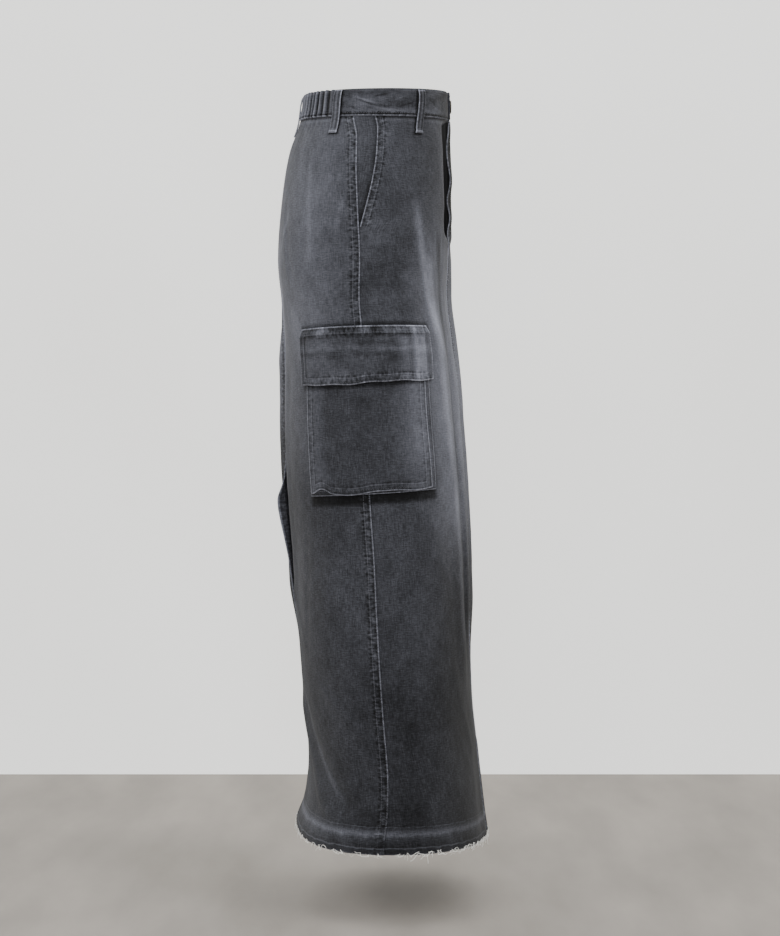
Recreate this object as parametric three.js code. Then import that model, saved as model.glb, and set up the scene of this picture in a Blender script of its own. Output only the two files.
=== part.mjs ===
// Cargo utility skirt of washed black denim, in the hollow form that it keeps when it is worn.
// Millimetres, +Z up. The front faces -Y and the wearer's right is -X. The origin is the middle of the waist
// opening, half-way up the waistband. An angle is in degrees round the skirt: 0 at the centre front, growing
// towards the wearer's right, 180 at the centre back. "out" is a distance outwards from the cloth's own shape.
import * as THREE from "three";

// Cloth and sewing
const PLY = 1.6; // thickness of one panel wall
const GAP = 0.3; // air between pieces that are sewn together
const LAP = { width: 11, step: 1.5, height: 0.9 }; // raised edge of a lapped seam
const UNDERLAP = PLY + GAP; // how far a piece that passes under another lies in

// Waistband, its closure and the gathers of its elastic back
const BAND = { top: 18, bottom: -18, backDrop: 4, ply: 2.6, proud: 1, joint: 110.5 };
const CLOSURE = { end: 4, under: -10, riseFrom: -18, riseTo: -12 };
const GATHER = { from: 113, to: 247, waves: 26, depth: 2.1, panelDepth: 1.5, fade: 46, columnsAWave: 4 };
const LOOP = { width: 11, ply: 1.5, foot: -39, bow: 2.9 };
const LOOP_ANGLES = { front_right: 63.6, side_right: 110.5, back: 180, side_left: 249.5, front_left: 296.4 };
const BUTTON = { angle: -6.5, z: 0, radius: 8.5, thickness: 2.4, dome: 1.2, sides: 20 };

// Panels
const TOP = BAND.bottom - GAP;
const HEM = { level: -928, frontDrop: 7, backRise: 7 };
const FLY = { bottom: -166, seamed: -184, edge: 2.5, under: -7, out: 3.5, ripple: 0.6, riseFrom: -15, riseTo: -8 };
const FLY_SINK = { depth: 4.5, from: 26, to: 9, top: -30 }; // the right edge falls back under the fly
const SLIT = { top: -468, reach: 14 };
const OPENING_FOOT = -158; // where the hip pocket's mouth meets the side seam
const FACING = { foot: -152, under: 8 };

// Cargo pocket, centred on the side seam; s runs forwards along the cloth from that seam
const FLAP = { half: 91, ply: 2.4, rise: 8, columns: 16 };
const POCKET = { half: 81, mouth: 10, columns: 7, rows: 6 };
const POCKET_EDGES = {
  flapTop: { middle: -279.5, rise: 0.045, droop: 0.0007 },
  flapFoot: { middle: -346.3, rise: 0.045, droop: 0.0003 },
  pocketFoot: { middle: -483, rise: 0.058, droop: 0 },
};
const GUSSET = { back: 3, front: 9, foot: 3, inside: 12, rise: 30, top: 14 };

// Frayed edge below the hem
const FRAY = { strip: 3, root: 2.2, longest: 15, shortest: 6, front: 36, back: 18, thick: 0.5 };

// Turns rows of numbers into rows with named columns.
const table = (columns, rows) => rows.map((row) => Object.fromEntries(columns.map((c, i) => [c, row[i]])));

// How far the skirt reaches before and behind the origin at each height, half its width, and how square it is.
const SECTIONS = table(
  ["z", "front", "back", "half", "square"],
  [
    [22, 88.5, 90, 136, 2.1],
    [-18, 89, 97, 138, 2.1],
    [-60, 91, 112, 148, 2.2],
    [-118, 91.5, 121.5, 163, 2.3],
    [-195, 90, 127, 176, 2.4],
    [-247, 88.5, 122.5, 182, 2.45],
    [-300, 95, 118.5, 186, 2.5],
    [-345, 100, 117, 188, 2.5],
    [-400, 104, 117, 191, 2.5],
    [-452, 108, 115.5, 194, 2.5],
    [-504, 111.5, 112.5, 197, 2.45],
    [-568, 114.5, 107, 200, 2.4],
    [-632, 116, 103.5, 204, 2.35],
    [-697, 118.5, 100, 208, 2.3],
    [-761, 121.5, 94.5, 213, 2.25],
    [-825, 128, 89, 219, 2.2],
    [-857, 131.5, 90.5, 223, 2.2],
    [-889, 135, 95.5, 227, 2.2],
    [-915, 138, 104.5, 231, 2.2],
    [-950, 143.5, 107, 236, 2.2],
  ],
);

// The largest folds. Each runs from one angle and height to another, is "wide" degrees to each side, and stands
// "out" millimetres from the section, or sinks where that is negative.
const FOLDS = table(
  ["angle", "z", "toAngle", "toZ", "wide", "out"],
  [
    [57, -180, 44, -780, 10, 4],
    [40, -240, 33, -740, 10, -4.5],
    [21, -280, 22, -700, 9, 3],
    [6, -150, 8, -720, 9, -3],
    [-24, -110, -22, -750, 25, 9.5],
    [-57, -220, -47, -800, 10, 4],
    [-42, -260, -36, -720, 9, -3.5],
    [150, -290, 156, -700, 13, 3],
    [-168, -240, -166, -700, 15, 10.5],
    [-140, -330, -146, -760, 12, 2.5],
    [165, -735, 107, -910, 8, 3.5],
    [150, -735, 95, -905, 8, -2.5],
    [-160, -700, -112, -905, 9, 3],
    [-20, -790, -12, -960, 16, 3],
    [28, -800, 34, -960, 16, -2],
  ],
);

// Lines across the cloth, as angles at each height.
const SIDE_SEAM = table(
  ["z", "angle"],
  [
    [22, 104],
    [-18, 103],
    [-45, 96.5],
    [-87, 94.5],
    [-130, 92.7],
    [-194, 90.7],
    [-247, 91.3],
    [-504, 92],
    [-761, 91.4],
    [-950, 92],
  ],
);
const OPENING = table(
  ["z", "angle"],
  [
    [-18, 89.5],
    [-34, 87.4],
    [-66, 86.3],
    [-98, 87.4],
    [-130, 89.5],
    [-158, 91.5],
  ],
);

// The slit at the centre back: how wide it stands open, and how far the left edge swings out.
const SLIT_SHAPE = table(
  ["z", "wide", "flare"],
  [
    [-440, GAP, 0],
    [-468, GAP, 3],
    [-486, 2.5, 9],
    [-504, 5, 18],
    [-530, 6.5, 17],
    [-580, 8, 9],
    [-640, 9, 3.5],
    [-700, 10, 0.5],
    [-950, 20, 0],
  ],
);

// The shared mesh of the cloth: every panel, pocket and loop takes its points from these angles and heights.
const STOP = 7.5;
const STOPS = Array.from({ length: 360 / STOP }, (_, i) => i * STOP);
const LEVELS = [
  24, 0, -18, -34, -58, -90, -122, -142, -158, -166, -184, -212, -244, -278, -312, -346, -380, -415, -448, -468,
  -486, -504, -530, -565, -605, -650, -695, -740, -780, -818, -855, -888, -926, -955,
];

const radians = THREE.MathUtils.degToRad;
const { clamp, lerp, smoothstep } = THREE.MathUtils;
const turned = (angle) => ((((angle + 180) % 360) + 360) % 360) - 180;

// A smooth curve through one column of a table whose heights fall: cubic pieces, level beyond the ends.
function curve(rows, column) {
  const slope = (i) => {
    const a = rows[Math.max(i - 1, 0)];
    const b = rows[Math.min(i + 1, rows.length - 1)];
    return (b[column] - a[column]) / (b.z - a.z);
  };
  return (z) => {
    if (z >= rows[0].z) return rows[0][column];
    if (z <= rows.at(-1).z) return rows.at(-1)[column];
    const i = rows.findIndex((row) => row.z < z) - 1;
    const span = rows[i + 1].z - rows[i].z;
    const t = (z - rows[i].z) / span;
    const a = rows[i][column];
    const b = rows[i + 1][column];
    const rise = a + (b - a) * t * t * (3 - 2 * t);
    return rise + span * t * (1 - t) * ((1 - t) * slope(i) - t * slope(i + 1));
  };
}

const front = curve(SECTIONS, "front");
const back = curve(SECTIONS, "back");
const half = curve(SECTIONS, "half");
const square = curve(SECTIONS, "square");
const sideSeam = curve(SIDE_SEAM, "angle");
const opening = curve(OPENING, "angle");
const slitWidth = curve(SLIT_SHAPE, "wide");
const slitFlare = curve(SLIT_SHAPE, "flare");

// A hump from 0 at -1 and 1 to 1 at 0.
const hump = (x) => (Math.abs(x) < 1 ? (1 - x * x) ** 2 : 0);

// How far the folds carry the cloth out at an angle and height. A fold swells over its first fifth and fades
// over its last.
function foldsOut(angle, z) {
  let out = 0;
  for (const fold of FOLDS) {
    const along = (z - fold.z) / (fold.toZ - fold.z);
    if (along <= 0 || along >= 1) continue;
    const strength = smoothstep(along, 0, 0.2) * (1 - smoothstep(along, 0.8, 1));
    const middle = lerp(fold.angle, fold.toAngle, along);
    out += fold.out * strength * hump(turned(angle - middle) / fold.wide);
  }
  return out;
}

// A point of the smooth cloth: a rounded-square section in polar form, with the folds added.
function smoothPoint(angle, z) {
  const a = (front(z) + back(z)) / 2;
  const n = square(z);
  const sin = Math.sin(radians(angle));
  const cos = Math.cos(radians(angle));
  const reach = (Math.abs(cos / a) ** n + Math.abs(sin / half(z)) ** n) ** (-1 / n) + foldsOut(angle, z);
  return new THREE.Vector3(-reach * sin, (back(z) - front(z)) / 2 - reach * cos, z);
}

// The level, outward normal of the smooth cloth.
function smoothNormal(angle, z) {
  const step = 0.5;
  const along = smoothPoint(angle + step, z).sub(smoothPoint(angle - step, z));
  return new THREE.Vector3(along.y, -along.x, 0).normalize().negate();
}

const mesh = LEVELS.map((z) => STOPS.map((a) => ({ point: smoothPoint(a, z), normal: smoothNormal(a, z) })));

// A point of the shared mesh, between its four nearest corners, moved out.
function onCloth(angle, z, out = 0) {
  const across = (((angle % 360) + 360) % 360) / STOP;
  const left = Math.floor(across) % STOPS.length;
  const right = (left + 1) % STOPS.length;
  const under = clamp(LEVELS.findIndex((level) => level < z), 1, LEVELS.length - 1);
  const down = (LEVELS[under - 1] - z) / (LEVELS[under - 1] - LEVELS[under]);
  const blend = (key) => {
    const upper = mesh[under - 1][left][key].clone().lerp(mesh[under - 1][right][key], across % 1);
    return upper.lerp(mesh[under][left][key].clone().lerp(mesh[under][right][key], across % 1), down);
  };
  return blend("point").addScaledVector(blend("normal").normalize(), out);
}

// Degrees that a length of cloth takes up at a place.
function degrees(length, angle, z) {
  return length / (onCloth(angle + 1, z).distanceTo(onCloth(angle - 1, z)) / 2);
}

// The angle that lies s forwards of the right side seam along the cloth.
function angleAt(s, z) {
  const steps = 24;
  let angle = sideSeam(z);
  for (let i = 0; i < steps; i++) angle -= degrees(s / steps, angle, z);
  return angle;
}

// Materials
const cloth = (color) => new THREE.MeshStandardMaterial({ color, roughness: 0.92, metalness: 0 });
const DENIM = cloth(0x4b4d52);
const DARK_DENIM = cloth(0x3c3e42);
const THREAD = cloth(0xd8d5cc);
const METAL = new THREE.MeshStandardMaterial({ color: 0x6d6a64, roughness: 0.45, metalness: 0.9 });

// Joins two rows of a sheet with triangles, always taking the nearer next point. Rows may differ in length.
function strip(faces, upper, lower) {
  let i = 0;
  let j = 0;
  while (i < upper.length - 1 || j < lower.length - 1) {
    const nextUpper = i < upper.length - 1 ? upper[i + 1].u : Infinity;
    const nextLower = j < lower.length - 1 ? lower[j + 1].u : Infinity;
    if (nextUpper <= nextLower) faces.push([upper[i].id, upper[++i].id, lower[j].id]);
    else faces.push([upper[i].id, lower[j + 1].id, lower[j++].id]);
  }
}

// Makes a named mesh of points and faces, and turns the faces to point out.
function closed(name, material, points, faces) {
  const [a, b, c] = [new THREE.Vector3(), new THREE.Vector3(), new THREE.Vector3()];
  let volume = 0;
  for (const [i, j, k] of faces) {
    volume += a.copy(points[i]).dot(b.copy(points[j]).cross(c.copy(points[k])));
  }
  const ordered = volume < 0 ? faces.map(([i, j, k]) => [i, k, j]) : faces;
  const geometry = new THREE.BufferGeometry().setFromPoints(points).setIndex(ordered.flat());
  geometry.computeVertexNormals();
  const made = new THREE.Mesh(geometry, material);
  made.name = name;
  return made;
}

// A closed cloth wall. Each row runs across the cloth and holds places { angle, z, out }; "out" is the outer
// face and the inner face lies a thickness behind it. "roots" can ask for strands on the lower edge.
function wall(name, material, rows, thickness, roots = new Map()) {
  const points = [];
  const faces = [];
  const add = (point, u) => ({ id: points.push(point) - 1, u });
  const skin = (depth) =>
    rows.map((row) =>
      row.map((place) => add(onCloth(place.angle, place.z, place.out - depth), place.u ?? place.angle)),
    );
  const outer = skin(0);
  const inner = skin(thickness);
  for (let r = 0; r < rows.length - 1; r++) {
    strip(faces, outer[r], outer[r + 1]);
    const turnedFaces = [];
    strip(turnedFaces, inner[r], inner[r + 1]);
    faces.push(...turnedFaces.map(([i, j, k]) => [i, k, j]));
    for (const [end, flip] of [
      [0, false],
      [-1, true],
    ]) {
      const [a, b, c, d] = [outer[r], outer[r + 1], inner[r + 1], inner[r]].map((row) => row.at(end).id);
      faces.push(...(flip ? [[a, d, c], [a, c, b]] : [[a, b, c], [a, c, d]]));
    }
  }
  const rim = (outside, inside, flip) => {
    for (let i = 0; i < outside.length - 1; i++) {
      const [a, b, c, d] = [outside[i], outside[i + 1], inside[i + 1], inside[i]].map((p) => p.id);
      const root = flip ? undefined : roots.get(i);
      faces.push(...(flip ? [[a, d, c], [a, c, b]] : [[a, c, d]]));
      if (root) strand(points, faces, [a, b, c], root);
      else if (!flip) faces.push([a, b, c]);
    }
  };
  rim(outer[0], inner[0], true);
  rim(outer.at(-1), inner.at(-1), false);
  return closed(name, material, points, faces);
}

// A bent three-sided strand that grows from a triangle and ends in a point.
function strand(points, faces, base, { length, lean, bend }) {
  const [a, b, c] = base.map((id) => points[id]);
  const middle = a.clone().add(b).add(c).divideScalar(3);
  const across = b.clone().sub(a).normalize();
  const outwards = new THREE.Vector3(-across.y, across.x, 0).normalize();
  const knee = middle.clone().addScaledVector(across, lean * length * 0.3);
  knee.addScaledVector(outwards, bend * 0.5);
  knee.z -= length * 0.5;
  const tip = middle.clone().addScaledVector(across, -lean * length * 0.45).addScaledVector(outwards, bend);
  tip.z -= length;
  const ring = base.map((id) => {
    const corner = knee.clone().addScaledVector(points[id].clone().sub(middle).normalize(), FRAY.thick);
    return points.push(corner) - 1;
  });
  const end = points.push(tip) - 1;
  for (let i = 0; i < 3; i++) {
    const next = (i + 1) % 3;
    faces.push([base[i], base[next], ring[next]], [base[i], ring[next], ring[i]], [ring[i], ring[next], end]);
  }
}

// The angles of a row: both edges, the shared stops between them, and any extra ones.
function across(from, to, extra = [], clear = 1.4) {
  const inside = [];
  for (let a = Math.ceil(from / STOP) * STOP; a < to; a += STOP) inside.push(a);
  const fixed = [from, ...extra, to];
  const kept = inside.filter((a) => fixed.every((f) => Math.abs(a - f) > clear));
  return [...fixed, ...kept].sort((a, b) => a - b);
}

const hem = (angle) => {
  const cos = Math.cos(radians(angle));
  return HEM.level - HEM.frontDrop * Math.max(cos, 0) ** 2 + HEM.backRise * Math.max(-cos, 0) ** 8;
};
const bandTop = (angle) => BAND.top - (BAND.backDrop * (1 - Math.cos(radians(angle)))) / 2;

// The gathers of the elastic back: uneven waves that lie flat under the belt loop at the centre back.
function gathered(angle) {
  const turn = angle < 0 ? angle + 360 : angle;
  const wave = ((turn - GATHER.from) / (GATHER.to - GATHER.from)) * GATHER.waves;
  if (wave <= 0 || wave >= GATHER.waves) return 0;
  const uneven = 0.78 + 0.22 * Math.sin(wave * 2.3) + 0.12 * Math.sin(wave * 5.1);
  const flat = 1 - hump((turn - 180) / 9);
  const ends = Math.min(1, wave / 1.5, (GATHER.waves - wave) / 1.5);
  return -Math.cos(wave * 2 * Math.PI) * uneven * flat * ends;
}
const gatherStep = (GATHER.to - GATHER.from) / (GATHER.waves * GATHER.columnsAWave);

// A panel from the waist seam to the hem. Its edges are angles at each height, and each lapped edge is raised.
function panel(name, { from, to, lapFrom = () => 0, lapTo = () => 0, out = () => 0, gathers = false }) {
  const levels = [TOP, ...LEVELS.filter((z) => z < TOP - 6 && z > HEM.level + 12), HEM.level];
  const rows = levels.map((level, r) => {
    const [start, end] = [from(level), to(level)];
    const extra = [];
    const wide = (length, edge) => degrees(length, edge, level);
    if (lapFrom(level)) extra.push(start + wide(LAP.width, start), start + wide(LAP.width + LAP.step, start));
    if (lapTo(level)) extra.push(end - wide(LAP.width + LAP.step, end), end - wide(LAP.width, end));
    if (gathers && level > TOP - GATHER.fade) {
      for (let a = GATHER.from; a < GATHER.to; a += gatherStep) if (a > start + 9 && a < end - 0.6) extra.push(a);
    }
    const angles = across(start, end, extra);
    return angles.map((angle) => {
      const edgeZ = hem(angle) + FRAY.strip + GAP;
      const z = r === levels.length - 1 ? edgeZ : level;
      const raised =
        lapFrom(level) * (angle < start + wide(LAP.width, start) + 1e-6 ? LAP.height : 0) +
        lapTo(level) * (angle > end - wide(LAP.width, end) - 1e-6 ? LAP.height : 0);
      const waves = gathers ? GATHER.panelDepth * gathered(angle) * smoothstep(z, TOP - GATHER.fade, TOP) : 0;
      return { angle, z, out: raised + waves + out(angle, level) };
    });
  });
  return wall(name, material(name), rows, PLY);
}
const material = (name) => (name.startsWith("front") ? DENIM : DARK_DENIM);

// Edges at the centre front, the sides and the centre back
const halfGap = (angle, z) => degrees(GAP / 2, angle, z);
const flyEdge = (z) => FLY.edge * smoothstep(z, FLY.seamed, FLY.bottom);
const flyUnder = (z) => lerp(flyEdge(z) + 2 * halfGap(0, z), FLY.under, smoothstep(z, FLY.bottom, FLY.bottom + 20));
const flyOut = (angle, z) => {
  const open = smoothstep(z, FLY.seamed, FLY.bottom);
  const ripple = FLY.ripple * Math.sin(z / 7.5) + FLY.ripple * Math.sin(z / 17);
  return open * (FLY.out + ripple) * smoothstep(angle, FLY.riseFrom, FLY.riseTo);
};
const flySink = (angle, z) => {
  const open = smoothstep(z, FLY.bottom - 8, FLY.bottom + 12) * (1 - smoothstep(z, FLY_SINK.top - 30, FLY_SINK.top));
  return -FLY_SINK.depth * open * (1 - smoothstep(angle, FLY_SINK.to, FLY_SINK.from));
};
const below = (limit) => (z) => (z < limit - 1 ? 1 : 0);
const seamedRight = (z) => sideSeam(z) - halfGap(90, z);
const seamedBack = (z) => sideSeam(z) + halfGap(90, z);
const slitHalf = (z) => degrees(slitWidth(z) / 2, 180, z);
const slitOut = (angle, z) => slitFlare(z) * (1 - clamp((angle - 180) / SLIT.reach, 0, 1)) ** 2;

const skirt = new THREE.Group();
skirt.add(
  panel("front_right", {
    from: flyUnder,
    out: flySink,
    to: (z) => (z > OPENING_FOOT ? opening(z) : seamedRight(z)),
  }),
  panel("front_left", {
    from: (z) => -(z > OPENING_FOOT ? opening(z) : seamedRight(z)),
    to: flyEdge,
    lapTo: below(FLY.seamed),
    out: flyOut,
  }),
  panel("back_right", {
    from: seamedBack,
    to: (z) => 180 - slitHalf(z),
    lapFrom: () => 1,
    gathers: true,
  }),
  panel("back_left", {
    from: (z) => 180 + slitHalf(z),
    to: (z) => 360 - seamedBack(z),
    lapFrom: (z) => (z > SLIT.top + 1 ? 1 : 0),
    lapTo: () => 1,
    out: slitOut,
    gathers: true,
  }),
);

// Hip pocket facing: shows between the slanted mouth and the side seam, and passes under the front panel.
function facing(name, side) {
  const levels = [TOP, ...LEVELS.filter((z) => z < TOP - 6 && z > FACING.foot + 4), FACING.foot];
  const rows = levels.map((z) => {
    const [mouth, seam] = [opening(z), seamedRight(z) - halfGap(90, z)];
    const row = across(mouth - FACING.under, seam, [mouth]).map((angle) => {
      const risen = clamp((angle - mouth) / (seam - mouth), 0, 1) * smoothstep(z, FACING.foot, FACING.foot + 40);
      return { angle: side * angle, z, out: -UNDERLAP * (1 - risen), u: angle };
    });
    return row;
  });
  return wall(name, DARK_DENIM, rows, PLY);
}
skirt.add(facing("hip_facing_right", 1), facing("hip_facing_left", -1));

// Waistband: two plain front pieces that overlap at the centre front, and the gathered elastic back.
function bandRows(angles, out) {
  const heights = [0, 0.5, 1];
  return heights.map((t) => angles.map((angle) => ({ angle, z: lerp(bandTop(angle), BAND.bottom, t), out: out(angle) })));
}
const jointGap = degrees(GAP / 2, BAND.joint, 0);
const overlapOut = (angle) =>
  BAND.proud + (BAND.ply + GAP) * smoothstep(angle, CLOSURE.riseFrom, CLOSURE.riseTo);
const backAngles = [];
for (let a = GATHER.from; a < GATHER.to + gatherStep / 2; a += gatherStep) backAngles.push(a);
skirt.add(
  wall(
    "waistband_front_right",
    DENIM,
    bandRows(across(CLOSURE.under, BAND.joint - jointGap), () => BAND.proud),
    BAND.ply,
  ),
  wall(
    "waistband_front_left",
    DENIM,
    bandRows(across(jointGap - BAND.joint, CLOSURE.end, [CLOSURE.riseFrom, CLOSURE.riseTo]), overlapOut),
    BAND.ply,
  ),
  wall(
    "waistband_back",
    DARK_DENIM,
    bandRows(
      [BAND.joint + jointGap, ...backAngles, 360 - BAND.joint - jointGap],
      (angle) => BAND.proud + GATHER.depth * gathered(angle),
    ),
    BAND.ply,
  ),
);

// Belt loop: a strip sewn down at the band's top and below its seam, bowed clear of the band between.
function beltLoop(name, middle) {
  const stations = table(
    ["z", "lift"],
    [
      [bandTop(middle) - 0.5, BAND.proud + GAP],
      [10, BAND.proud + GAP + 0.8 * LOOP.bow],
      [0, BAND.proud + GAP + LOOP.bow],
      [-10, BAND.proud + GAP + 0.8 * LOOP.bow],
      [BAND.bottom - 4, BAND.proud + GAP + 0.3 * LOOP.bow],
      [-31, LAP.height + GAP + 0.1],
      [LOOP.foot, LAP.height + GAP],
    ],
  );
  const reach = degrees(LOOP.width / 2, middle, 0);
  const rows = stations.map(({ z, lift }) =>
    [-1, 0, 1].map((side) => ({ angle: middle + side * reach, z, out: lift + LOOP.ply })),
  );
  return wall(name, DENIM, rows, LOOP.ply);
}
for (const [where, angle] of Object.entries(LOOP_ANGLES)) skirt.add(beltLoop(`belt_loop_${where}`, angle));

// Cargo pocket edges: heights along s, which rise forwards and droop towards both ends.
const edgeAt = ({ middle, rise, droop }) => (s) => middle + rise * s - droop * s * s;
const flapTop = edgeAt(POCKET_EDGES.flapTop);
const flapFoot = edgeAt(POCKET_EDGES.flapFoot);
const pocketFoot = edgeAt(POCKET_EDGES.pocketFoot);
const pocketMouth = (s) => flapTop(s) - POCKET.mouth;
const steps = (count, low, high) => Array.from({ length: count + 1 }, (_, i) => lerp(low, high, i / count));

const ON_PANEL = LAP.height + 2 * GAP;
const ON_GUSSET = ON_PANEL + PLY + 1.5 * GAP;
const ON_POCKET = ON_GUSSET + PLY + GAP;

// A place on the pocket: s forwards from the seam, on the right side or mirrored to the left.
const place = (side, s, z, out, u) => ({ angle: side * angleAt(s, z), z, out, u });

const pocketColumns = [
  -POCKET.half,
  GUSSET.inside + 1 - POCKET.half,
  ...steps(POCKET.columns, GUSSET.rise - POCKET.half, POCKET.half - GUSSET.rise),
  POCKET.half - GUSSET.inside - 1,
  POCKET.half,
];

// Gusset: a folded strip round the back, foot and front of the pocket, between it and the panel.
function gusset(name, side) {
  const low = -POCKET.half;
  const high = POCKET.half;
  const path = [
    ...steps(5, 1, 0).map((t) => ({ s: low, z: lerp(pocketFoot(low), pocketMouth(low) - GUSSET.top, t) })),
    ...pocketColumns.map((s) => ({ s, z: pocketFoot(s) })),
    ...steps(5, 0, 1).map((t) => ({ s: high, z: lerp(pocketFoot(high), pocketMouth(high) - GUSSET.top, t) })),
  ];
  const corners = path.filter((p, i) => i === 0 || Math.hypot(p.s - path[i - 1].s, p.z - path[i - 1].z) > 1);
  const rows = corners.map((p) => {
    const atBack = p.s <= low + 1;
    const atFront = p.s >= high - 1;
    const atFoot = p.z <= pocketFoot(p.s) + 1;
    return [0, 0.5, 1].map((t) => {
      const sideways = (atBack ? -1 : 0) * lerp(GUSSET.back, -GUSSET.inside, t);
      const forwards = (atFront ? 1 : 0) * lerp(GUSSET.front, -GUSSET.inside, t);
      const down = (atFoot ? 1 : 0) * lerp(GUSSET.foot, -GUSSET.inside, t);
      return place(side, p.s + sideways + forwards, p.z - down, ON_PANEL + PLY, t);
    });
  });
  return wall(name, DARK_DENIM, rows, PLY);
}

// Pocket front: rests on the gusset round three edges and sinks to the panel in the middle.
function pocketFront(name, side) {
  const heights = [
    ...steps(POCKET.rows, 0, 1).map((t) => (s) => lerp(pocketMouth(s), pocketFoot(s) + GUSSET.rise, t)),
    (s) => pocketFoot(s) + GUSSET.inside + 1,
    pocketFoot,
  ];
  const rows = heights.map((height) =>
    pocketColumns.map((s) => {
      const fromEdge = Math.min(POCKET.half - Math.abs(s), height(s) - pocketFoot(s));
      const risen = 1 - smoothstep(fromEdge, GUSSET.inside + 1, GUSSET.rise);
      return place(side, s, height(s), lerp(ON_PANEL, ON_GUSSET, risen) + PLY, s);
    }),
  );
  return wall(name, DENIM, rows, PLY);
}

// Flap: sewn to the panel along its top, and lies over the pocket's mouth.
function flap(name, side) {
  const rows = [0, FLAP.rise / (flapTop(0) - flapFoot(0)), 0.4, 0.7, 1].map((t) =>
    steps(FLAP.columns, -FLAP.half, FLAP.half).map((s) => {
      const out = (t === 0 ? ON_PANEL : ON_POCKET) + FLAP.ply;
      return place(side, s, lerp(flapTop(s), flapFoot(s), t), out, s);
    }),
  );
  return wall(name, DENIM, rows, FLAP.ply);
}
for (const [word, side] of [
  ["right", 1],
  ["left", -1],
]) {
  skirt.add(gusset(`cargo_gusset_${word}`, side), pocketFront(`cargo_pocket_${word}`, side));
  skirt.add(flap(`cargo_flap_${word}`, side));
}

// Frayed edge: a narrow strip along the hem with loose weft threads fused to it.
function fray(name, from, to, count, out) {
  const angles = [from];
  const roots = new Map();
  const pitch = (to - from) / count;
  for (let i = 0; i < count; i++) {
    const shift = 0.5 + 0.32 * Math.sin(i * 2.7);
    const start = from + (i + shift) * pitch - degrees(FRAY.root, from + i * pitch, HEM.level) / 2;
    angles.push(start, start + degrees(FRAY.root, start, HEM.level));
    const share = 0.5 + 0.5 * Math.sin(i * 4.1 + 1);
    const length = lerp(FRAY.shortest, FRAY.longest, share * share);
    roots.set(2 * i + 1, { length, lean: Math.sin(i * 1.9), bend: 1.6 * Math.sin(i * 3.3) });
  }
  angles.push(to);
  const rows = [FRAY.strip, 0].map((up) => angles.map((angle) => ({ angle, z: hem(angle) + up, out: out(angle) })));
  return wall(name, THREAD, rows, PLY, roots);
}
const atHem = (edge) => edge(HEM.level);
skirt.add(
  fray("fray_front", atHem((z) => halfGap(90, z) - sideSeam(z)), atHem(seamedRight), FRAY.front, () => 0),
  fray("fray_back_right", atHem(seamedBack), atHem((z) => 180 - slitHalf(z)), FRAY.back, () => 0),
  fray("fray_back_left", atHem((z) => 180 + slitHalf(z)), atHem((z) => 360 - seamedBack(z)), FRAY.back, () => 0),
);

// Shank button at the end of the left waistband
const { radius, thickness, dome } = BUTTON;
const profile = [
  [0, 0],
  [radius * 0.85, 0],
  [radius, thickness * 0.4],
  [radius, thickness * 0.75],
  [radius * 0.82, thickness],
  [radius * 0.72, thickness * 0.8],
  [radius * 0.35, thickness * 0.8 + dome * 0.7],
  [0, thickness * 0.8 + dome],
].map(([x, y]) => new THREE.Vector2(x, y));
const button = new THREE.Mesh(new THREE.LatheGeometry(profile, BUTTON.sides), METAL);
const seat = BAND.proud + BAND.ply + GAP;
const upright = new THREE.Vector3(0, 1, 0);
const facingOut = smoothNormal(BUTTON.angle, BUTTON.z);
button.name = "button";
button.position.copy(onCloth(BUTTON.angle, BUTTON.z, seat + 2 * GAP));
button.quaternion.setFromUnitVectors(upright, facingOut);
skirt.add(button);

export default skirt;
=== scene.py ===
"""A long, straight skirt of washed black denim, dressed on its CAD frame.

The skirt keeps the hollow form that it has when worn. Lengths in this script are millimetres and are turned to
metres where a mesh is made. An angle is in degrees round the skirt: 0 at the centre front, growing towards the
wearer's right (-X), 180 at the centre back. "out" is a distance outwards from the cloth's own shape.
"""

import logging
import math
from dataclasses import dataclass, field
from enum import Enum
from typing import Callable

import bpy
import numpy as np
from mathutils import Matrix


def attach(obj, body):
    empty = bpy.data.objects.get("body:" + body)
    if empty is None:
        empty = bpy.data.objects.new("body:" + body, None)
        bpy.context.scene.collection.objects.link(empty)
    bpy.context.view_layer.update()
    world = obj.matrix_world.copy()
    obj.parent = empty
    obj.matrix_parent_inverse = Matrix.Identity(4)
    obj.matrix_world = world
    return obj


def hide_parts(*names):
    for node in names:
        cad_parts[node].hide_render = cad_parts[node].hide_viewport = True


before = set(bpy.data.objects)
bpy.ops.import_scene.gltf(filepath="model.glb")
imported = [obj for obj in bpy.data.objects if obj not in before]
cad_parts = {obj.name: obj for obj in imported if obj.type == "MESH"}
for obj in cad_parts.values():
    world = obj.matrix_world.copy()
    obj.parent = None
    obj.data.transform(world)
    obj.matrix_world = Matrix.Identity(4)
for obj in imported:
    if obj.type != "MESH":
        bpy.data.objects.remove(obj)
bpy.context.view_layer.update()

Array = np.ndarray
Edge = Callable[[Array], Array]
Place = Callable[[Array, Array], Array]
LOG = logging.getLogger("skirt")
MM = 0.001

# Cloth and sewing, as in the CAD source
PLY = 1.6
GAP = 0.3
LAP_WIDTH, LAP_STEP, LAP_HEIGHT = 11.0, 1.5, 0.9
BAND_TOP, BAND_BOTTOM, BAND_DROP, BAND_PLY, BAND_PROUD, BAND_JOINT = 18.0, -18.0, 4.0, 2.6, 1.0, 110.5
GATHER_FROM, GATHER_TO, GATHER_WAVES, GATHER_DEPTH, GATHER_FADE = 113.0, 247.0, 26, 2.1, 70.0
HEM_LEVEL, HEM_FRONT_DROP, HEM_BACK_RISE = -928.0, 7.0, 12.0
HIP_MOUTH_FOOT = -158.0
# How far an edge is carried on under its neighbour, how deep it is sunk there, and over what width
TUCK, TUCK_SINK, TUCK_FADE = 4.0, 1.2, 3.0
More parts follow.
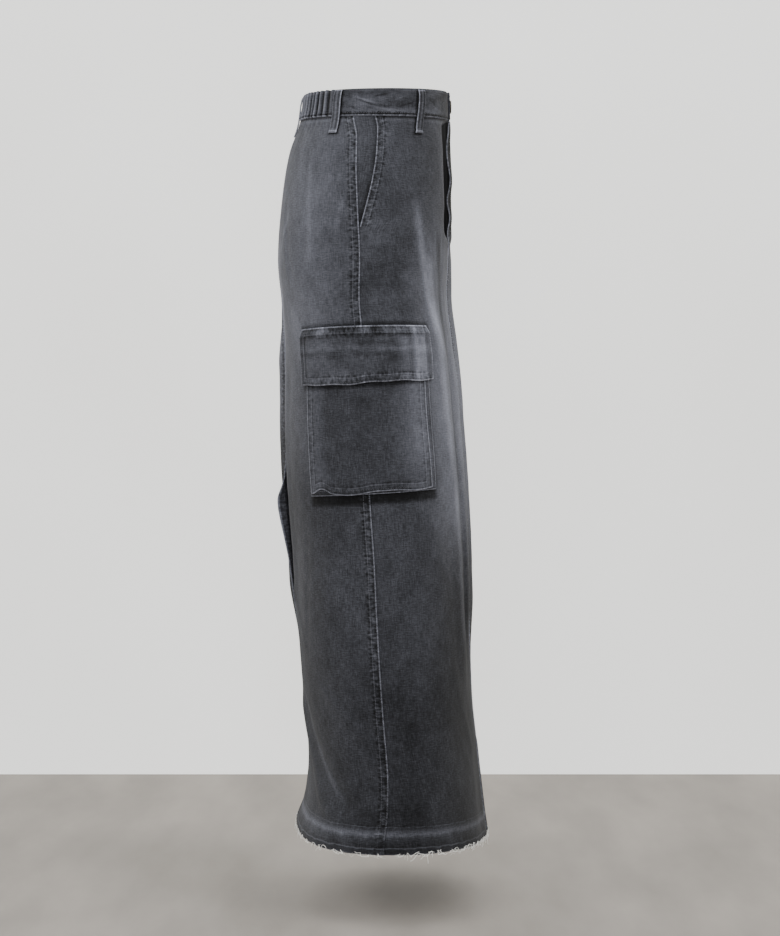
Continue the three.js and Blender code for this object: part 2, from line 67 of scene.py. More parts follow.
# What the distance to a sewn edge, and to the hem, reads where there is none near
NO_SEAM, NO_HEM = 60.0, 400.0
# Millimetres of hem a degree
HEM_ARC = 3.2
SIDES = {"right": 1, "left": -1}

SECTIONS = {
    "z": [22, -18, -60, -118, -195, -247, -300, -345, -400, -452, -504, -568, -632, -697, -761, -825, -857, -889,
          -915, -950],
    "front": [88.5, 89, 91, 91.5, 90, 88.5, 95, 100, 104, 108, 111.5, 114.5, 116, 118.5, 121.5, 128, 131.5, 135,
              138, 143.5],
    "back": [90, 97, 112, 121.5, 127, 122.5, 118.5, 117, 117, 115.5, 112.5, 107, 103.5, 100, 94.5, 89, 90.5, 95.5,
             104.5, 107],
    "half": [136, 138, 148, 163, 176, 182, 186, 188, 191, 194, 197, 200, 204, 208, 213, 219, 223, 227, 231, 236],
    "square": [2.1, 2.1, 2.2, 2.3, 2.4, 2.45, 2.5, 2.5, 2.5, 2.5, 2.45, 2.4, 2.35, 2.3, 2.25, 2.2, 2.2, 2.2, 2.2,
               2.2],
}
SIDE_SEAM = {
    "z": [22, -18, -45, -87, -130, -194, -247, -504, -761, -950],
    "angle": [102, 100.4, 96.5, 94.5, 92.7, 90.7, 91.3, 92, 91.4, 92],
}
OPENING = {"z": [-18, -34, -66, -98, -130, -158], "angle": [89.5, 87.4, 86.3, 87.4, 89.5, 91.5]}
SLIT = {
    "z": [-440, -468, -486, -504, -530, -580, -640, -700, -950],
    "wide": [0.3, 0.3, 2.5, 5, 6.5, 8, 9, 10, 20],
    "flare": [0, 4, 11, 21, 21, 13, 4.5, 0.5, 0],
}

# Strokes: angle, z, to angle, to z, half width in degrees, strength
FOLDS = [
    (57, -180, 44, -780, 10, 4), (40, -240, 33, -740, 10, -4.5), (21, -280, 22, -700, 9, 3),
    (6, -150, 8, -720, 9, -3), (-24, -110, -22, -750, 25, 9.5), (-57, -220, -47, -800, 10, 4),
    (-42, -260, -36, -720, 9, -3.5), (150, -290, 156, -700, 13, 3), (-168, -240, -166, -700, 15, 10.5),
    (-140, -330, -146, -760, 12, 2.5), (165, -735, 107, -910, 8, 3.5), (150, -735, 95, -905, 8, -2.5),
    (-160, -700, -112, -905, 9, 3), (-20, -790, -12, -960, 16, 3), (28, -800, 34, -960, 16, -2),
]
CREASES = [
    (150, -110, 130, -230, 4, 0.9), (143, -120, 122, -240, 3.5, -0.8), (118, -90, 112, -200, 3, 0.6),
    (60, -130, 74, -330, 4, 0.7), (38, -150, 50, -300, 3.5, -0.6), (70, -500, 64, -640, 5, 0.9),
    (104, -500, 116, -650, 5, 0.9), (122, -520, 130, -700, 4, -0.8), (80, -560, 84, -760, 6, -0.8),
    (30, -420, 26, -600, 3, 0.8), (14, -330, 14, -520, 2.5, -0.9), (18, -360, 18, -560, 2, 0.6),
    (160, -600, 128, -700, 4, 0.9), (120, -720, 84, -830, 5, 1.2), (60, -700, 40, -830, 6, 0.9),
    (-150, -110, -130, -230, 4, 0.9), (-60, -130, -74, -330, 4, 0.7), (-70, -500, -64, -640, 5, 0.9),
    (-104, -500, -116, -650, 5, 0.9), (-122, -520, -130, -700, 4, -0.8), (-30, -420, -26, -600, 3, 0.8),
    (-160, -600, -128, -700, 4, 0.9), (-120, -720, -84, -830, 5, 1.2), (-60, -700, -40, -830, 6, 0.9),
    (75, -30, 50, -46, 4, 0.8), (-75, -30, -50, -46, 4, 0.8),
]
# How light washing and wear have left the back, the sides and the front, with painted shade low on the front:
# 0 is the darkest cloth, 1 the lightest
WASH_AND_SHADE = {
    "z": [-18, -60, -118, -160, -195, -247, -300, -345, -400, -452, -504, -568, -632, -697, -761, -825, -880],
    "back": [0.36, 0.38, 0.43, 0.42, 0.43, 0.44, 0.45, 0.40, 0.35, 0.28, 0.18, 0.22, 0.20, 0.18, 0.16, 0.15, 0.14],
    "side": [0.22, 0.23, 0.22, 0.20, 0.20, 0.22, 0.24, 0.24, 0.22, 0.19, 0.19, 0.20, 0.18, 0.15, 0.11, 0.09, 0.06],
    "front": [0.22, 0.22, 0.24, 0.32, 0.42, 0.48, 0.56, 0.60, 0.58, 0.54, 0.50, 0.24, 0.07, 0.02, 0.0, 0.0, 0.0],
}
FRONT_REACH, BACK_REACH = (54, 78), (90, 114)
# Streaks of wear, and painted highlights and fold shadows on the front, the same on both sides
WEAR_AND_SHADING_STREAKS = [
    (66, -112, 56, -300, 4, 0.26), (58, -180, 51, -330, 3.2, 0.2), (57, -235, 51, -480, 4, 0.2),
    (51, -440, 46, -700, 4, 0.16), (47, -150, 44, -340, 4.5, -0.2),
    (43, -240, 31, -540, 4, -0.15), (28, -200, 24, -480, 8, 0.12), (158, -140, 157, -440, 15, 0.24),
    (158, -215, 158, -330, 12, 0.12), (170, -230, 168, -430, 11, 0.26), (165, -400, 166, -580, 5, 0.14),
    (99, -112, 102, -165, 2, 0.12), (136, -132, 146, -190, 3, 0.12), (122, -60, 112, -200, 3, 0.1),
    (128, -250, 118, -330, 8, 0.08), (150, -735, 104, -880, 3, 0.15), (84, -690, 84, -930, 8, -0.05),
    (150, -840, 120, -930, 20, 0.08),
]
# Painted shade on one side only: beside the slit and round the fly
SHADES = [
    (-177, -300, -174, -560, 10, -0.14), (-10, -14, -9, -192, 11, -0.16), (-2.5, -14, -2.5, -178, 5.5, -0.4),
    (4, -14, 4, -180, 5, -0.3), (13, -14, 13, -184, 15, -0.26), (6, -160, 7, -285, 9, -0.28),
]
# Painted shade on the cloth's inner face round the fly, so that the gap there reads dark
FLY_INNER_SHADE = [(-26, 12, -26, -200, 36, 1.1)]
# Creases of the waistband: angle, z, rise a degree, half width, half length in degrees, strength
BAND_CREASES = [
    (94, -2, 0.8, 1.7, 8, -0.2), (96, 2, 0.8, 2.0, 8, 0.12), (86, -9, 0.5, 2.2, 9, 0.12),
    (88, 7, -0.5, 1.5, 7, -0.12), (77, 4, -0.9, 1.6, 5, 0.1), (72, -3, -0.7, 1.6, 6, -0.13),
    (52, 1, 0.9, 1.7, 6, -0.12), (48, -6, 0.6, 2.0, 7, 0.1), (34, 3, -0.6, 1.8, 6, -0.1),
    (101, -8, 1.2, 1.6, 4, -0.14), (20, -4, 0.5, 1.8, 6, -0.1),
]


class Hold(str, Enum):
    HUNG = "hung"
    GATHERED = "gathered"
    FOLDED = "folded"


class Slot(str, Enum):
    """Material slots."""

    DENIM = "denim"
    DARK = "denim_dark"
    THREAD = "thread"
    METAL = "metal"


def smoothstep(x: Array, low: float, high: float) -> Array:
    """Rises smoothly from 0 at low to 1 at high.

    Args:
        x: The values to read the step at.
        low: Where the rise starts.
        high: Where the rise ends.
    Returns:
        The height of the step at each value.
    """
    t = np.clip((np.asarray(x, float) - low) / (high - low), 0, 1)
    return t * t * (3 - 2 * t)


def hump(x: Array) -> Array:
    """A hump over -1 to 1: one minus the square of x, squared.

    Args:
        x: Distance from the hump's middle, in half widths.
    Returns:
        1 at the middle, 0 outside.
    """
    return np.clip(1 - np.asarray(x, float) ** 2, 0, 1) ** 2


def turned(angle: Array) -> Array:
    """Brings an angle between -180 and 180 degrees.

    Args:
        angle: Degrees.
    Returns:
        The same direction, between -180 and 180.
    """
    return (np.asarray(angle, float) + 180) % 360 - 180


def curve(rows: dict[str, list[float]], column: str) -> Edge:
    """A smooth curve through one column of a table whose heights fall, level beyond the ends.

    Between two rows it is a cubic that keeps the slope of their neighbours' chord at each row.

    Args:
        rows: The table, with a column "z".
        column: The column to follow.
    Returns:
        A function of height.
    """
    z = np.array(rows["z"], float)[::-1]
    y = np.array(rows[column], float)[::-1]
    before = np.r_[0, np.arange(len(z) - 1)]
    after = np.r_[np.arange(1, len(z)), len(z) - 1]
    slope = (y[after] - y[before]) / (z[after] - z[before])

    def at(height: Array) -> Array:
        """Reads the curve.

        Args:
            height: Heights.
        Returns:
            The column's value there.
        """
        h = np.clip(np.asarray(height, float), z[0], z[-1])
        i = np.clip(np.searchsorted(z, h, side="right") - 1, 0, len(z) - 2)
        span = z[i + 1] - z[i]
        t = (h - z[i]) / span
        rise = y[i] + (y[i + 1] - y[i]) * t * t * (3 - 2 * t)
        return rise + span * t * (1 - t) * ((1 - t) * slope[i] - t * slope[i + 1])

    return at


def strokes(angle: Array, z: Array, rows: list[tuple[float, ...]]) -> Array:
    """The sum of soft strokes that run from one angle and height to another.

    Each swells over its first fifth, fades over its last, and falls off to both sides as a hump.

    Args:
        angle: Angles of the places.
        z: Heights of the places.
        rows: angle, z, to angle, to z, half width, strength.
    Returns:
        The strokes' strength at each place.
    """
    total = np.zeros(np.broadcast(angle, z).shape)
    for start, top, end, foot, wide, strength in rows:
        along = (z - top) / (foot - top)
        swell = smoothstep(along, 0, 0.2) * (1 - smoothstep(along, 0.8, 1))
        middle = start + (end - start) * np.clip(along, 0, 1)
        total += strength * swell * hump(turned(angle - middle) / wide)
    return total


def patches(u: Array, v: Array, seed: int, coarse: float) -> Array:
    """Soft uneven patches: a sum of sine waves of random directions, about -1 to 1.

    Args:
        u: First coordinate, in millimetres.
        v: Second coordinate, in millimetres.
        seed: Picks the waves.
        coarse: Length of the longest wave, in millimetres.
    Returns:
        The height of the waves at each place.
    """
    random = np.random.default_rng(seed)
    total = np.zeros(np.broadcast(u, v).shape)
    for i in range(9):
        turn, phase = random.uniform(0, 2 * math.pi, 2)
        number = 2 * math.pi / (coarse / (1 + 0.35 * i))
        total += np.sin(number * (u * math.cos(turn) + v * math.sin(turn)) + phase) / (1 + 0.35 * i)
    return total / 3.2


front, back, half, square = (curve(SECTIONS, name) for name in ("front", "back", "half", "square"))
side_seam, opening = curve(SIDE_SEAM, "angle"), curve(OPENING, "angle")
slit_wide, slit_flare = curve(SLIT, "wide"), curve(SLIT, "flare")
wash_back, wash_side, front_wash_and_shade = (curve(WASH_AND_SHADE, name) for name in ("back", "side", "front"))


def hem(angle: Array) -> Array:
    """Height of the raw edge at an angle.

    Args:
        angle: Degrees round the skirt.
    Returns:
        Heights: lowest at the centre front, lifted near the centre back.
    """
    cos = np.cos(np.radians(angle))
    return HEM_LEVEL - HEM_FRONT_DROP * np.clip(cos, 0, 1) ** 2 + HEM_BACK_RISE * np.clip(-cos, 0, 1) ** 3


def band_top(angle: Array) -> Array:
    """Height of the waistband's top edge at an angle.

    Args:
        angle: Degrees round the skirt.
    Returns:
        Heights, falling slightly towards the back.
    """
    return BAND_TOP - BAND_DROP * (1 - np.cos(np.radians(angle))) / 2


def gathered(angle: Array) -> Array:
    """The gathers of the elastic back, flat under the centre belt loop.

    Args:
        angle: Degrees round the skirt.
    Returns:
        The waves, about -1 to 1.
    """
    turn = np.asarray(angle, float) % 360
    wave = (turn - GATHER_FROM) / (GATHER_TO - GATHER_FROM) * GATHER_WAVES
    uneven = 0.78 + 0.22 * np.sin(wave * 2.3) + 0.12 * np.sin(wave * 5.1)
    ends = np.clip(np.minimum(wave / 1.5, (GATHER_WAVES - wave) / 1.5), 0, 1)
    return -np.cos(wave * 2 * math.pi) * uneven * (1 - hump((turn - 180) / 9)) * ends


class Form:
    """The cloth's own shape: rounded-square sections with folds."""

    def place(self, angle: Array, z: Array, out: Array | float = 0.0) -> Array:
        """Points on the cloth, moved out.

        A section is a superellipse in polar form. The reach has the folds and creases added, and the level
        normal is the turned difference of two near points.

        Args:
            angle: Degrees round the skirt.
            z: Heights.
            out: Distance outwards from the cloth.
        Returns:
            Points in millimetres, with x, y and z on the last axis.
        """
        angle, z = np.broadcast_arrays(np.asarray(angle, float), np.asarray(z, float))
        one, two = self._flat(angle + 0.4, z), self._flat(angle - 0.4, z)
        along = one - two
        normal = np.stack([-along[..., 1], along[..., 0]], -1)
        normal /= np.linalg.norm(normal, axis=-1, keepdims=True)
        level = self._flat(angle, z) + normal * np.broadcast_to(out, z.shape)[..., None]
        return np.concatenate([level, z[..., None]], -1)

    @staticmethod
    def _flat(angle: Array, z: Array) -> Array:
        """Points of the cloth seen from above.

        Args:
            angle: Degrees round the skirt.
            z: Heights.
        Returns:
            x and y on the last axis.
        """
        a = (front(z) + back(z)) / 2
        n = square(z)
        sin, cos = np.sin(np.radians(angle)), np.cos(np.radians(angle))
        reach = (np.abs(cos / a) ** n + np.abs(sin / half(z)) ** n) ** (-1 / n)
        reach = reach + strokes(angle, z, FOLDS) + strokes(angle, z, CREASES)
        return np.stack([-reach * sin, (back(z) - front(z)) / 2 - reach * cos], -1)

    def walk(self, z: Array, start: Array, end: Array) -> tuple[Array, Array]:
        """Arc lengths across rows of cloth.

        Args:
            z: Height of each row.
            start: Angle at each row's first edge.
            end: Angle at each row's last edge.
        Returns:
            Angles of even steps across each row, and the length of cloth up to each.
        """
        t = np.linspace(0, 1, 241)
        angle = start[:, None] + (end - start)[:, None] * t
        points = self.place(angle, z[:, None])[..., :2]
        steps = np.linalg.norm(np.diff(points, axis=1), axis=-1)
        return angle, np.concatenate([np.zeros((len(z), 1)), np.cumsum(steps, 1)], 1)


FORM = Form()


@dataclass
class Wall:
    """A closed cloth wall over a grid of places.

    Rows run down the cloth and columns across it. Each fact is a named value at every place, such as how light
    the cloth is, or how far the next sewn edge is.
    """

    name: str
    angle: Array
    z: Array
    out: Array
    u: Array
    ply: float = PLY
    facts: dict[str, Array] = field(default_factory=dict)
    rounding: float = 0.45

    def build(self, material: bpy.types.Material) -> bpy.types.Object:
        """Makes the wall's mesh: outer face, inner face and the rim between them.

        The rim is rounded by drawing both faces together over the last millimetre.

        Args:
            material: The cloth's finish.
        Returns:
            The new object.
        """
        rows, columns = self.z.shape
        rim = np.zeros((rows, columns))
        rim[[0, -1], :] = 1
        rim[:, [0, -1]] = 1
        pinch = self.rounding * self.ply * rim * 0.6
        outer = FORM.place(self.angle, self.z, self.out - pinch)
        inner = FORM.place(self.angle, self.z, self.out - self.ply + pinch)
        points = np.concatenate([outer.reshape(-1, 3), inner.reshape(-1, 3)]) * MM
        index = np.arange(rows * columns).reshape(rows, columns)
        quads = np.stack([index[:-1, :-1], index[:-1, 1:], index[1:, 1:], index[1:, :-1]], -1).reshape(-1, 4)
        ring = np.concatenate([index[0, :-1], index[:-1, -1], index[-1, :0:-1], index[:0:-1, 0]])
        after = np.roll(ring, -1)
        count = rows * columns
        border = np.stack([ring, ring + count, after + count, after], -1)
        faces = np.concatenate([quads, quads[:, ::-1] + count, border])
        uv = np.stack([self.u, self.z], -1).reshape(-1, 2) * MM
        known = {"seam": np.full_like(self.z, NO_SEAM), "rise": np.full_like(self.z, NO_HEM), "run": self.z,
                 "crimp": np.ones_like(self.z), "inner_shade": np.zeros_like(self.z)}
        known.update({name: np.broadcast_to(value, self.z.shape) for name, value in self.facts.items()})
        facts = {name: np.r_[value.ravel(), value.ravel()] for name, value in known.items()}
        facts["inside"] = np.r_[np.zeros(count), np.ones(count)]
        return make_mesh(self.name, points, faces, material, np.r_[uv, uv], facts)


def make_mesh(
    name: str,
    points: Array,
    faces: Array,
    material: bpy.types.Material,
    uv: Array | None = None,
    facts: dict[str, Array] | None = None,
) -> bpy.types.Object:
    """Makes an object of points in metres and faces of one size, turned to face outwards.

    Args:
        name: The piece's name.
        points: One row of x, y, z a point.
        faces: One row of point numbers a face.
        material: The finish.
        uv: One row of u, v a point, in metres.
        facts: Named values, one a point.
    Returns:
        The new object, riding on the root body.
    """
    mesh = bpy.data.meshes.new(name)
    size = faces.shape[1]
    a, b, c = points[faces[:, 0]], points[faces[:, 1]], points[faces[:, 2]]
    volume = (a * np.cross(b, c)).sum()
    if size == 4:
        d = points[faces[:, 3]]
        volume += (a * np.cross(c, d)).sum()
    if volume < 0:
        faces = faces[:, ::-1]
    mesh.vertices.add(len(points))
    mesh.vertices.foreach_set("co", points.astype(np.float32).ravel())
    mesh.loops.add(faces.size)
    mesh.loops.foreach_set("vertex_index", faces.astype(np.int32).ravel())
    mesh.polygons.add(len(faces))
    mesh.polygons.foreach_set("loop_start", np.arange(0, faces.size, size, dtype=np.int32))
    mesh.polygons.foreach_set("use_smooth", np.full(len(faces), True))
    if uv is not None:
        layer = mesh.uv_layers.new(name="cloth")
        layer.data.foreach_set("uv", uv[faces.ravel()].astype(np.float32).ravel())
    for key, value in (facts or {}).items():
        mesh.attributes.new(key, "FLOAT", "POINT").data.foreach_set("value", value.astype(np.float32))
    mesh.materials.append(material)
    mesh.update(calc_edges=True)
    mesh.validate()
    made = bpy.data.objects.new(name, mesh)
    bpy.context.scene.collection.objects.link(made)
    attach(made, "root")
    return made


def arc(angle: Array | float, z: Array) -> Array:
    """Millimetres of cloth a degree.

    Args:
        angle: Where it is measured.
        z: Heights.
    Returns:
        Half the length between a degree before and a degree after.
    """
    return np.linalg.norm(FORM.place(angle + 1, z) - FORM.place(angle - 1, z), axis=-1) / 2


def half_gap(angle: float, z: Array) -> Array:
    """Half of the air at a seam, as an angle."""
    return GAP / 2 / arc(angle, z)


def tuck(angle: float, z: Array) -> Array:
    """How far an edge that passes under its neighbour is carried on, as an angle."""
    return TUCK / arc(angle, z)


NEAR = (0, 0.7, 1.5, 2.4, 4, 6, 8.5, LAP_WIDTH, LAP_WIDTH + LAP_STEP, 15)


def grid(z: Array, start: Edge, end: Edge, step: float, near: tuple[float, ...] = NEAR) -> dict[str, Array]:
    """Places a grid between two edges, with close columns along both.

    Args:
        z: Height of each row.
        start: Angle of the first edge at a height.
        end: Angle of the last edge at a height.
        step: Distance between even columns.
        near: Distances of the close columns from each edge.
    Returns:
        "angle", "z", "u" (arc length from the first edge), "from" and "to" (distance from each edge).
    """
    angle, length = FORM.walk(z, start(z), end(z))
    width = length[:, -1:]
    close = np.broadcast_to(np.array(near, float), (len(z), len(near)))
    count = max(2, round((float(np.median(width)) - 2 * near[-1]) / step))
    even = near[-1] + (width - 2 * near[-1]) * np.linspace(0, 1, count + 1)[1:-1]
    s = np.concatenate([close, even, width - close[:, ::-1]], 1)
    places = np.stack([np.interp(s[i], length[i], angle[i]) for i in range(len(z))])
    return {"angle": places, "z": np.repeat(z[:, None], s.shape[1], 1), "u": s, "from": s, "to": width - s}


def cut(g: dict[str, Array]) -> tuple[float, float, float]:
    """Measures a grid laid flat.

    Args:
        g: The grid.
    Returns:
        Its greatest width and its length, in metres, and its area in square metres.
    """
    width, z = g["u"][:, -1], g["z"][:, 0]
    return float(width.max()) * MM, float(z[0] - z[-1]) * MM, float(np.trapz(width, -z)) * MM * MM


def wash_and_shading(angle: Array, z: Array) -> Array:
    """How light washing and wear have left the cloth, with painted light and shade added.

    The back, side and front levels blend round the skirt. Streaks of wear, painted highlights and painted fold
    shadows are mirrored to the other side, and the painted shades aren't. Soft patches break them up.

    Args:
        angle: Degrees round the skirt.
        z: Heights.
    Returns:
        0 for dark cloth to 1 for the lightest.
    """
    around = np.abs(turned(angle))
    level = wash_side(z)
    level = level + (front_wash_and_shade(z) - level) * (1 - smoothstep(around, *FRONT_REACH))
    level = level + (wash_back(z) - level) * smoothstep(around, *BACK_REACH)
    level = level + strokes(around, z, WEAR_AND_SHADING_STREAKS) + strokes(angle, z, SHADES)
    level += 0.03 * patches(angle * 3.0, z, 5, 160) + 0.03 * patches(angle * 4.0, z * 0.7, 9, 50)
    smudged = hump((z + 205) / 90) * hump((around - 80) / 34)
    level += 0.09 * smudged * patches(angle * 1.3, z * 3.0 + angle * 0.8, 29, 90)
    return np.clip(level, -0.1, 1)


def never(z: Array) -> Array:
    """0 at every height: an edge that isn't lapped, sewn or tucked."""
    return np.zeros_like(z)


def always(z: Array) -> Array:
    """1 at every height: an edge that is lapped or sewn all the way."""
    return np.ones_like(z)


def unmoved(angle: Array, z: Array) -> Array:
    """0 everywhere: cloth that lies on the form."""
    return np.zeros_like(z)


@dataclass
class Panel:
    """A skirt panel from the waist seam to the raw hem.

    At each edge it may lap over its neighbour, be sewn down with rows that show, or be tucked under. Those are
    functions of height, from 0 to 1.
    """

    name: str
    start: Edge
    end: Edge
    out: Place = unmoved
    lap_start: Edge = never
    lap_end: Edge = never
    sewn_start: Edge = never
    sewn_end: Edge = never
    tuck_start: Edge = never
    tuck_end: Edge = never
    gathers: bool = False
    seam_at_end: bool = True
    edge_light: float = 0.0

    TOP = BAND_BOTTOM - GAP
    HEM_ROWS = np.array([34, 28, 24, 20, 17, 14, 12, 10, 8.5, 7, 5.6, 4.4, 3.2, 2.2, 1.2, 0.0])

    def build(self, cloth: bpy.types.Material) -> bpy.types.Object:
        """Makes the panel and measures its cut.

        Args:
            cloth: The denim.
        Returns:
            The panel.
        """
        z = self.TOP - np.r_[np.arange(0, 48, 1.2), np.arange(48, 878, 3.6)]
        z = np.r_[z[z > HEM_LEVEL + 37], HEM_LEVEL + self.HEM_ROWS]
        g = grid(z, self.start, self.end, 3.4)
        angle = g["angle"]
        lift = hem(angle) - HEM_LEVEL
        z2 = g["z"] + lift * smoothstep(-g["z"], -HEM_LEVEL - 160, -HEM_LEVEL - 34)
        lap = self._at_edges(g, self.lap_start(z2), self.lap_end(z2), LAP_WIDTH, LAP_STEP)
        tucked = self._at_edges(g, self.tuck_start(z2), self.tuck_end(z2), TUCK, TUCK_FADE)
        out = LAP_HEIGHT * lap - TUCK_SINK * tucked + self.out(angle, z2) + 0.35 * patches(g["u"], z2, 3, 120)
        if self.gathers:
            gather = gathered(angle) * smoothstep(z2, self.TOP - GATHER_FADE, self.TOP)
            out += 1.3 * gather * (0.35 + 0.65 * smoothstep(z2, self.TOP - 24, self.TOP))
        seam = np.minimum(np.where(self.sewn_start(z2) > 0.5, g["from"], NO_SEAM),
                          np.where(self.sewn_end(z2) > 0.5, g["to"], NO_SEAM))
        facts = {"fade": self._tone(g, z2), "seam": seam, "rise": z2 - hem(angle), "run": z2,
                 "inner_shade": strokes(angle, z2, FLY_INNER_SHADE)}
        made = Wall(self.name, angle, z2, out, g["u"], PLY, facts).build(cloth)
        node = self.name.replace("cloth_", "")
        wide, long, area = cut(g)
        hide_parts(node)
        return made

    @staticmethod
    def _at_edges(g: dict[str, Array], start: Array, end: Array, reach: float, fading: float) -> Array:
        """Reads what happens along the two edges.

        Args:
            g: The grid.
            start: How strongly it happens at the first edge.
            end: How strongly it happens at the last edge.
            reach: How far from an edge it keeps its strength.
            fading: Over what width it then falls to 0.
        Returns:
            The sum for both edges.
        """
        return (start * (1 - smoothstep(g["from"], reach, reach + fading))
                + end * (1 - smoothstep(g["to"], reach, reach + fading)))

    def _tone(self, g: dict[str, Array], z: Array) -> Array:
        """How light the cloth is: washed and worn, with painted light and shade, and painted shadow beside
        pockets and loops and just under the waist seam.

        Args:
            g: The grid.
            z: Heights, with the hem's lift.
        Returns:
            0 for dark cloth to 1 for the lightest.
        """
        from_seam = g["to"] if self.seam_at_end else g["from"]
        ahead = from_seam - TUCK if "front" in self.name else -from_seam
        # Painted shadow round the cargo pockets and belt loops
        tone = wash_and_shading(g["angle"], z) - POCKETS.beside(ahead, z) - LOOPS.beside(g["angle"], z)
        # Painted shadow just under the waistband, and a lighter line below it
        tone = tone - 0.3 * hump((z - self.TOP + 0.8) / 2.4) + 0.1 * hump((z - self.TOP + 5) / 2.6)
        return np.clip(tone, -0.15, 1) + self.edge_light * (1 - smoothstep(g["to"], 0.8, 1.8))


@dataclass(frozen=True)
class Skirt:
    """The four panels with the fly and the slit."""

    fly_foot: float = -166.0
    fly_seamed: float = -184.0
    fly_reach: float = 2.5
    fly_proud: float = 3.5
    slit_head: float = -466.0

    def fly_edge(self, z: Array) -> Array:
        """Angle of the fly's free edge."""
        return self.fly_reach * smoothstep(z, self.fly_seamed, self.fly_foot)

    def fly_out(self, angle: Array, z: Array) -> Array:
        """How far the left front stands out: its free edge curls in behind the fly's front, in slow waves.

        Args:
            angle: Degrees round the skirt.
            z: Heights.
        Returns:
            Distance outwards.
        """
        over = 0.2 + (PLY + 2 * GAP) * (1 - self._fly_open(z))
        curled = self.fly_proud + (over - self.fly_proud) * smoothstep(angle, -5, self.fly_reach)
        wave = 1.8 * np.cos((z + 32) / 9.0 + 0.6 * np.sin(z / 21)) * smoothstep(angle, -9, 0)
        return smoothstep(z, self.fly_seamed, self.fly_foot) * (curled + wave) * smoothstep(angle, -15, -8)

    def _fly_open(self, z: Array) -> Array:
        """1 where the fly gapes, 0 above and below."""
        return smoothstep(z, self.fly_foot - 8, self.fly_foot + 12) * (1 - smoothstep(z, -27, -18))

    def _fly_under(self, z: Array) -> Array:
        """Angle of the right front's edge, which passes under the left."""
        return -tuck(0, z) - 5.3 * smoothstep(z, self.fly_foot, self.fly_foot + 20)

    def _fly_sink(self, angle: Array, z: Array) -> Array:
        """How far the right front stands out: it sinks in where the fly gapes."""
        return -(8.2 + 2.0 * hump((z + 146) / 22)) * self._fly_open(z) * (1 - smoothstep(angle, 14, 40))

    @staticmethod
    def _slit_half(z: Array) -> Array:
        """Half of the slit's width, as an angle."""
        return slit_wide(z) / 2 / arc(180, z)

    @staticmethod
    def _slit_out(angle: Array, z: Array) -> Array:
        """How far the left back flares out beside the slit."""
        return slit_flare(z) * (1 - np.clip((angle - 180) / 6.5, 0, 1)) ** 1.15

    @staticmethod
    def _back_start(z: Array) -> Array:
        """Angle of a back panel's side edge."""
        return side_seam(z) + half_gap(90, z)

    @staticmethod
    def _front_end(z: Array) -> Array:
        """Angle of a front panel's side edge: the pocket's mouth, and below it the edge under the seam."""
        return np.where(z > HIP_MOUTH_FOOT, opening(z), side_seam(z) + tuck(90, z))

    @staticmethod
    def _at_mouth(z: Array) -> Array:
        """1 at the hip pocket's mouth."""
        return 1.0 * (z > HIP_MOUTH_FOOT)

    @staticmethod
    def _below_mouth(z: Array) -> Array:
        """1 below the hip pocket's mouth."""
        return 1.0 * (z <= HIP_MOUTH_FOOT)

    def _below_fly(self, z: Array) -> Array:
        """1 below the fly."""
        return smoothstep(-z, -self.fly_foot, -self.fly_foot + 10)

    def _above_slit(self, z: Array) -> Array:
        """1 above the slit."""
        return smoothstep(z, self.slit_head - 10, self.slit_head)

    def _beside_slit(self, z: Array) -> Array:
        """1 where the slit's edge is sewn."""
        return 1.0 * (z < self.slit_head - 6)

    def build(self, cloth: bpy.types.Material) -> list[bpy.types.Object]:
        """Makes the four panels.

        Args:
            cloth: The denim.
        Returns:
            The panels.
        """
        panels = [
            Panel("cloth_front_right", self._fly_under, self._front_end, self._fly_sink, sewn_end=self._at_mouth,
                  tuck_start=self._below_fly, tuck_end=self._below_mouth),
            Panel("cloth_front_left", lambda z: -self._front_end(z), self.fly_edge, self.fly_out,
                  lap_end=self._below_fly, sewn_start=self._at_mouth, sewn_end=always,
                  tuck_start=self._below_mouth, seam_at_end=False, edge_light=0.34),
            Panel("cloth_back_right", self._back_start,
                  lambda z: 180 - self._slit_half(z) + self._above_slit(z) * tuck(180, z),
                  lap_start=always, sewn_start=always, sewn_end=self._beside_slit, tuck_end=self._above_slit,
                  gathers=True, seam_at_end=False),
            Panel("cloth_back_left", lambda z: 180 + self._slit_half(z), lambda z: 360 - self._back_start(z),
                  self._slit_out, lap_start=self._above_slit, lap_end=always, sewn_start=always,
                  sewn_end=always, gathers=True),
        ]
        return [panel.build(cloth) for panel in panels]


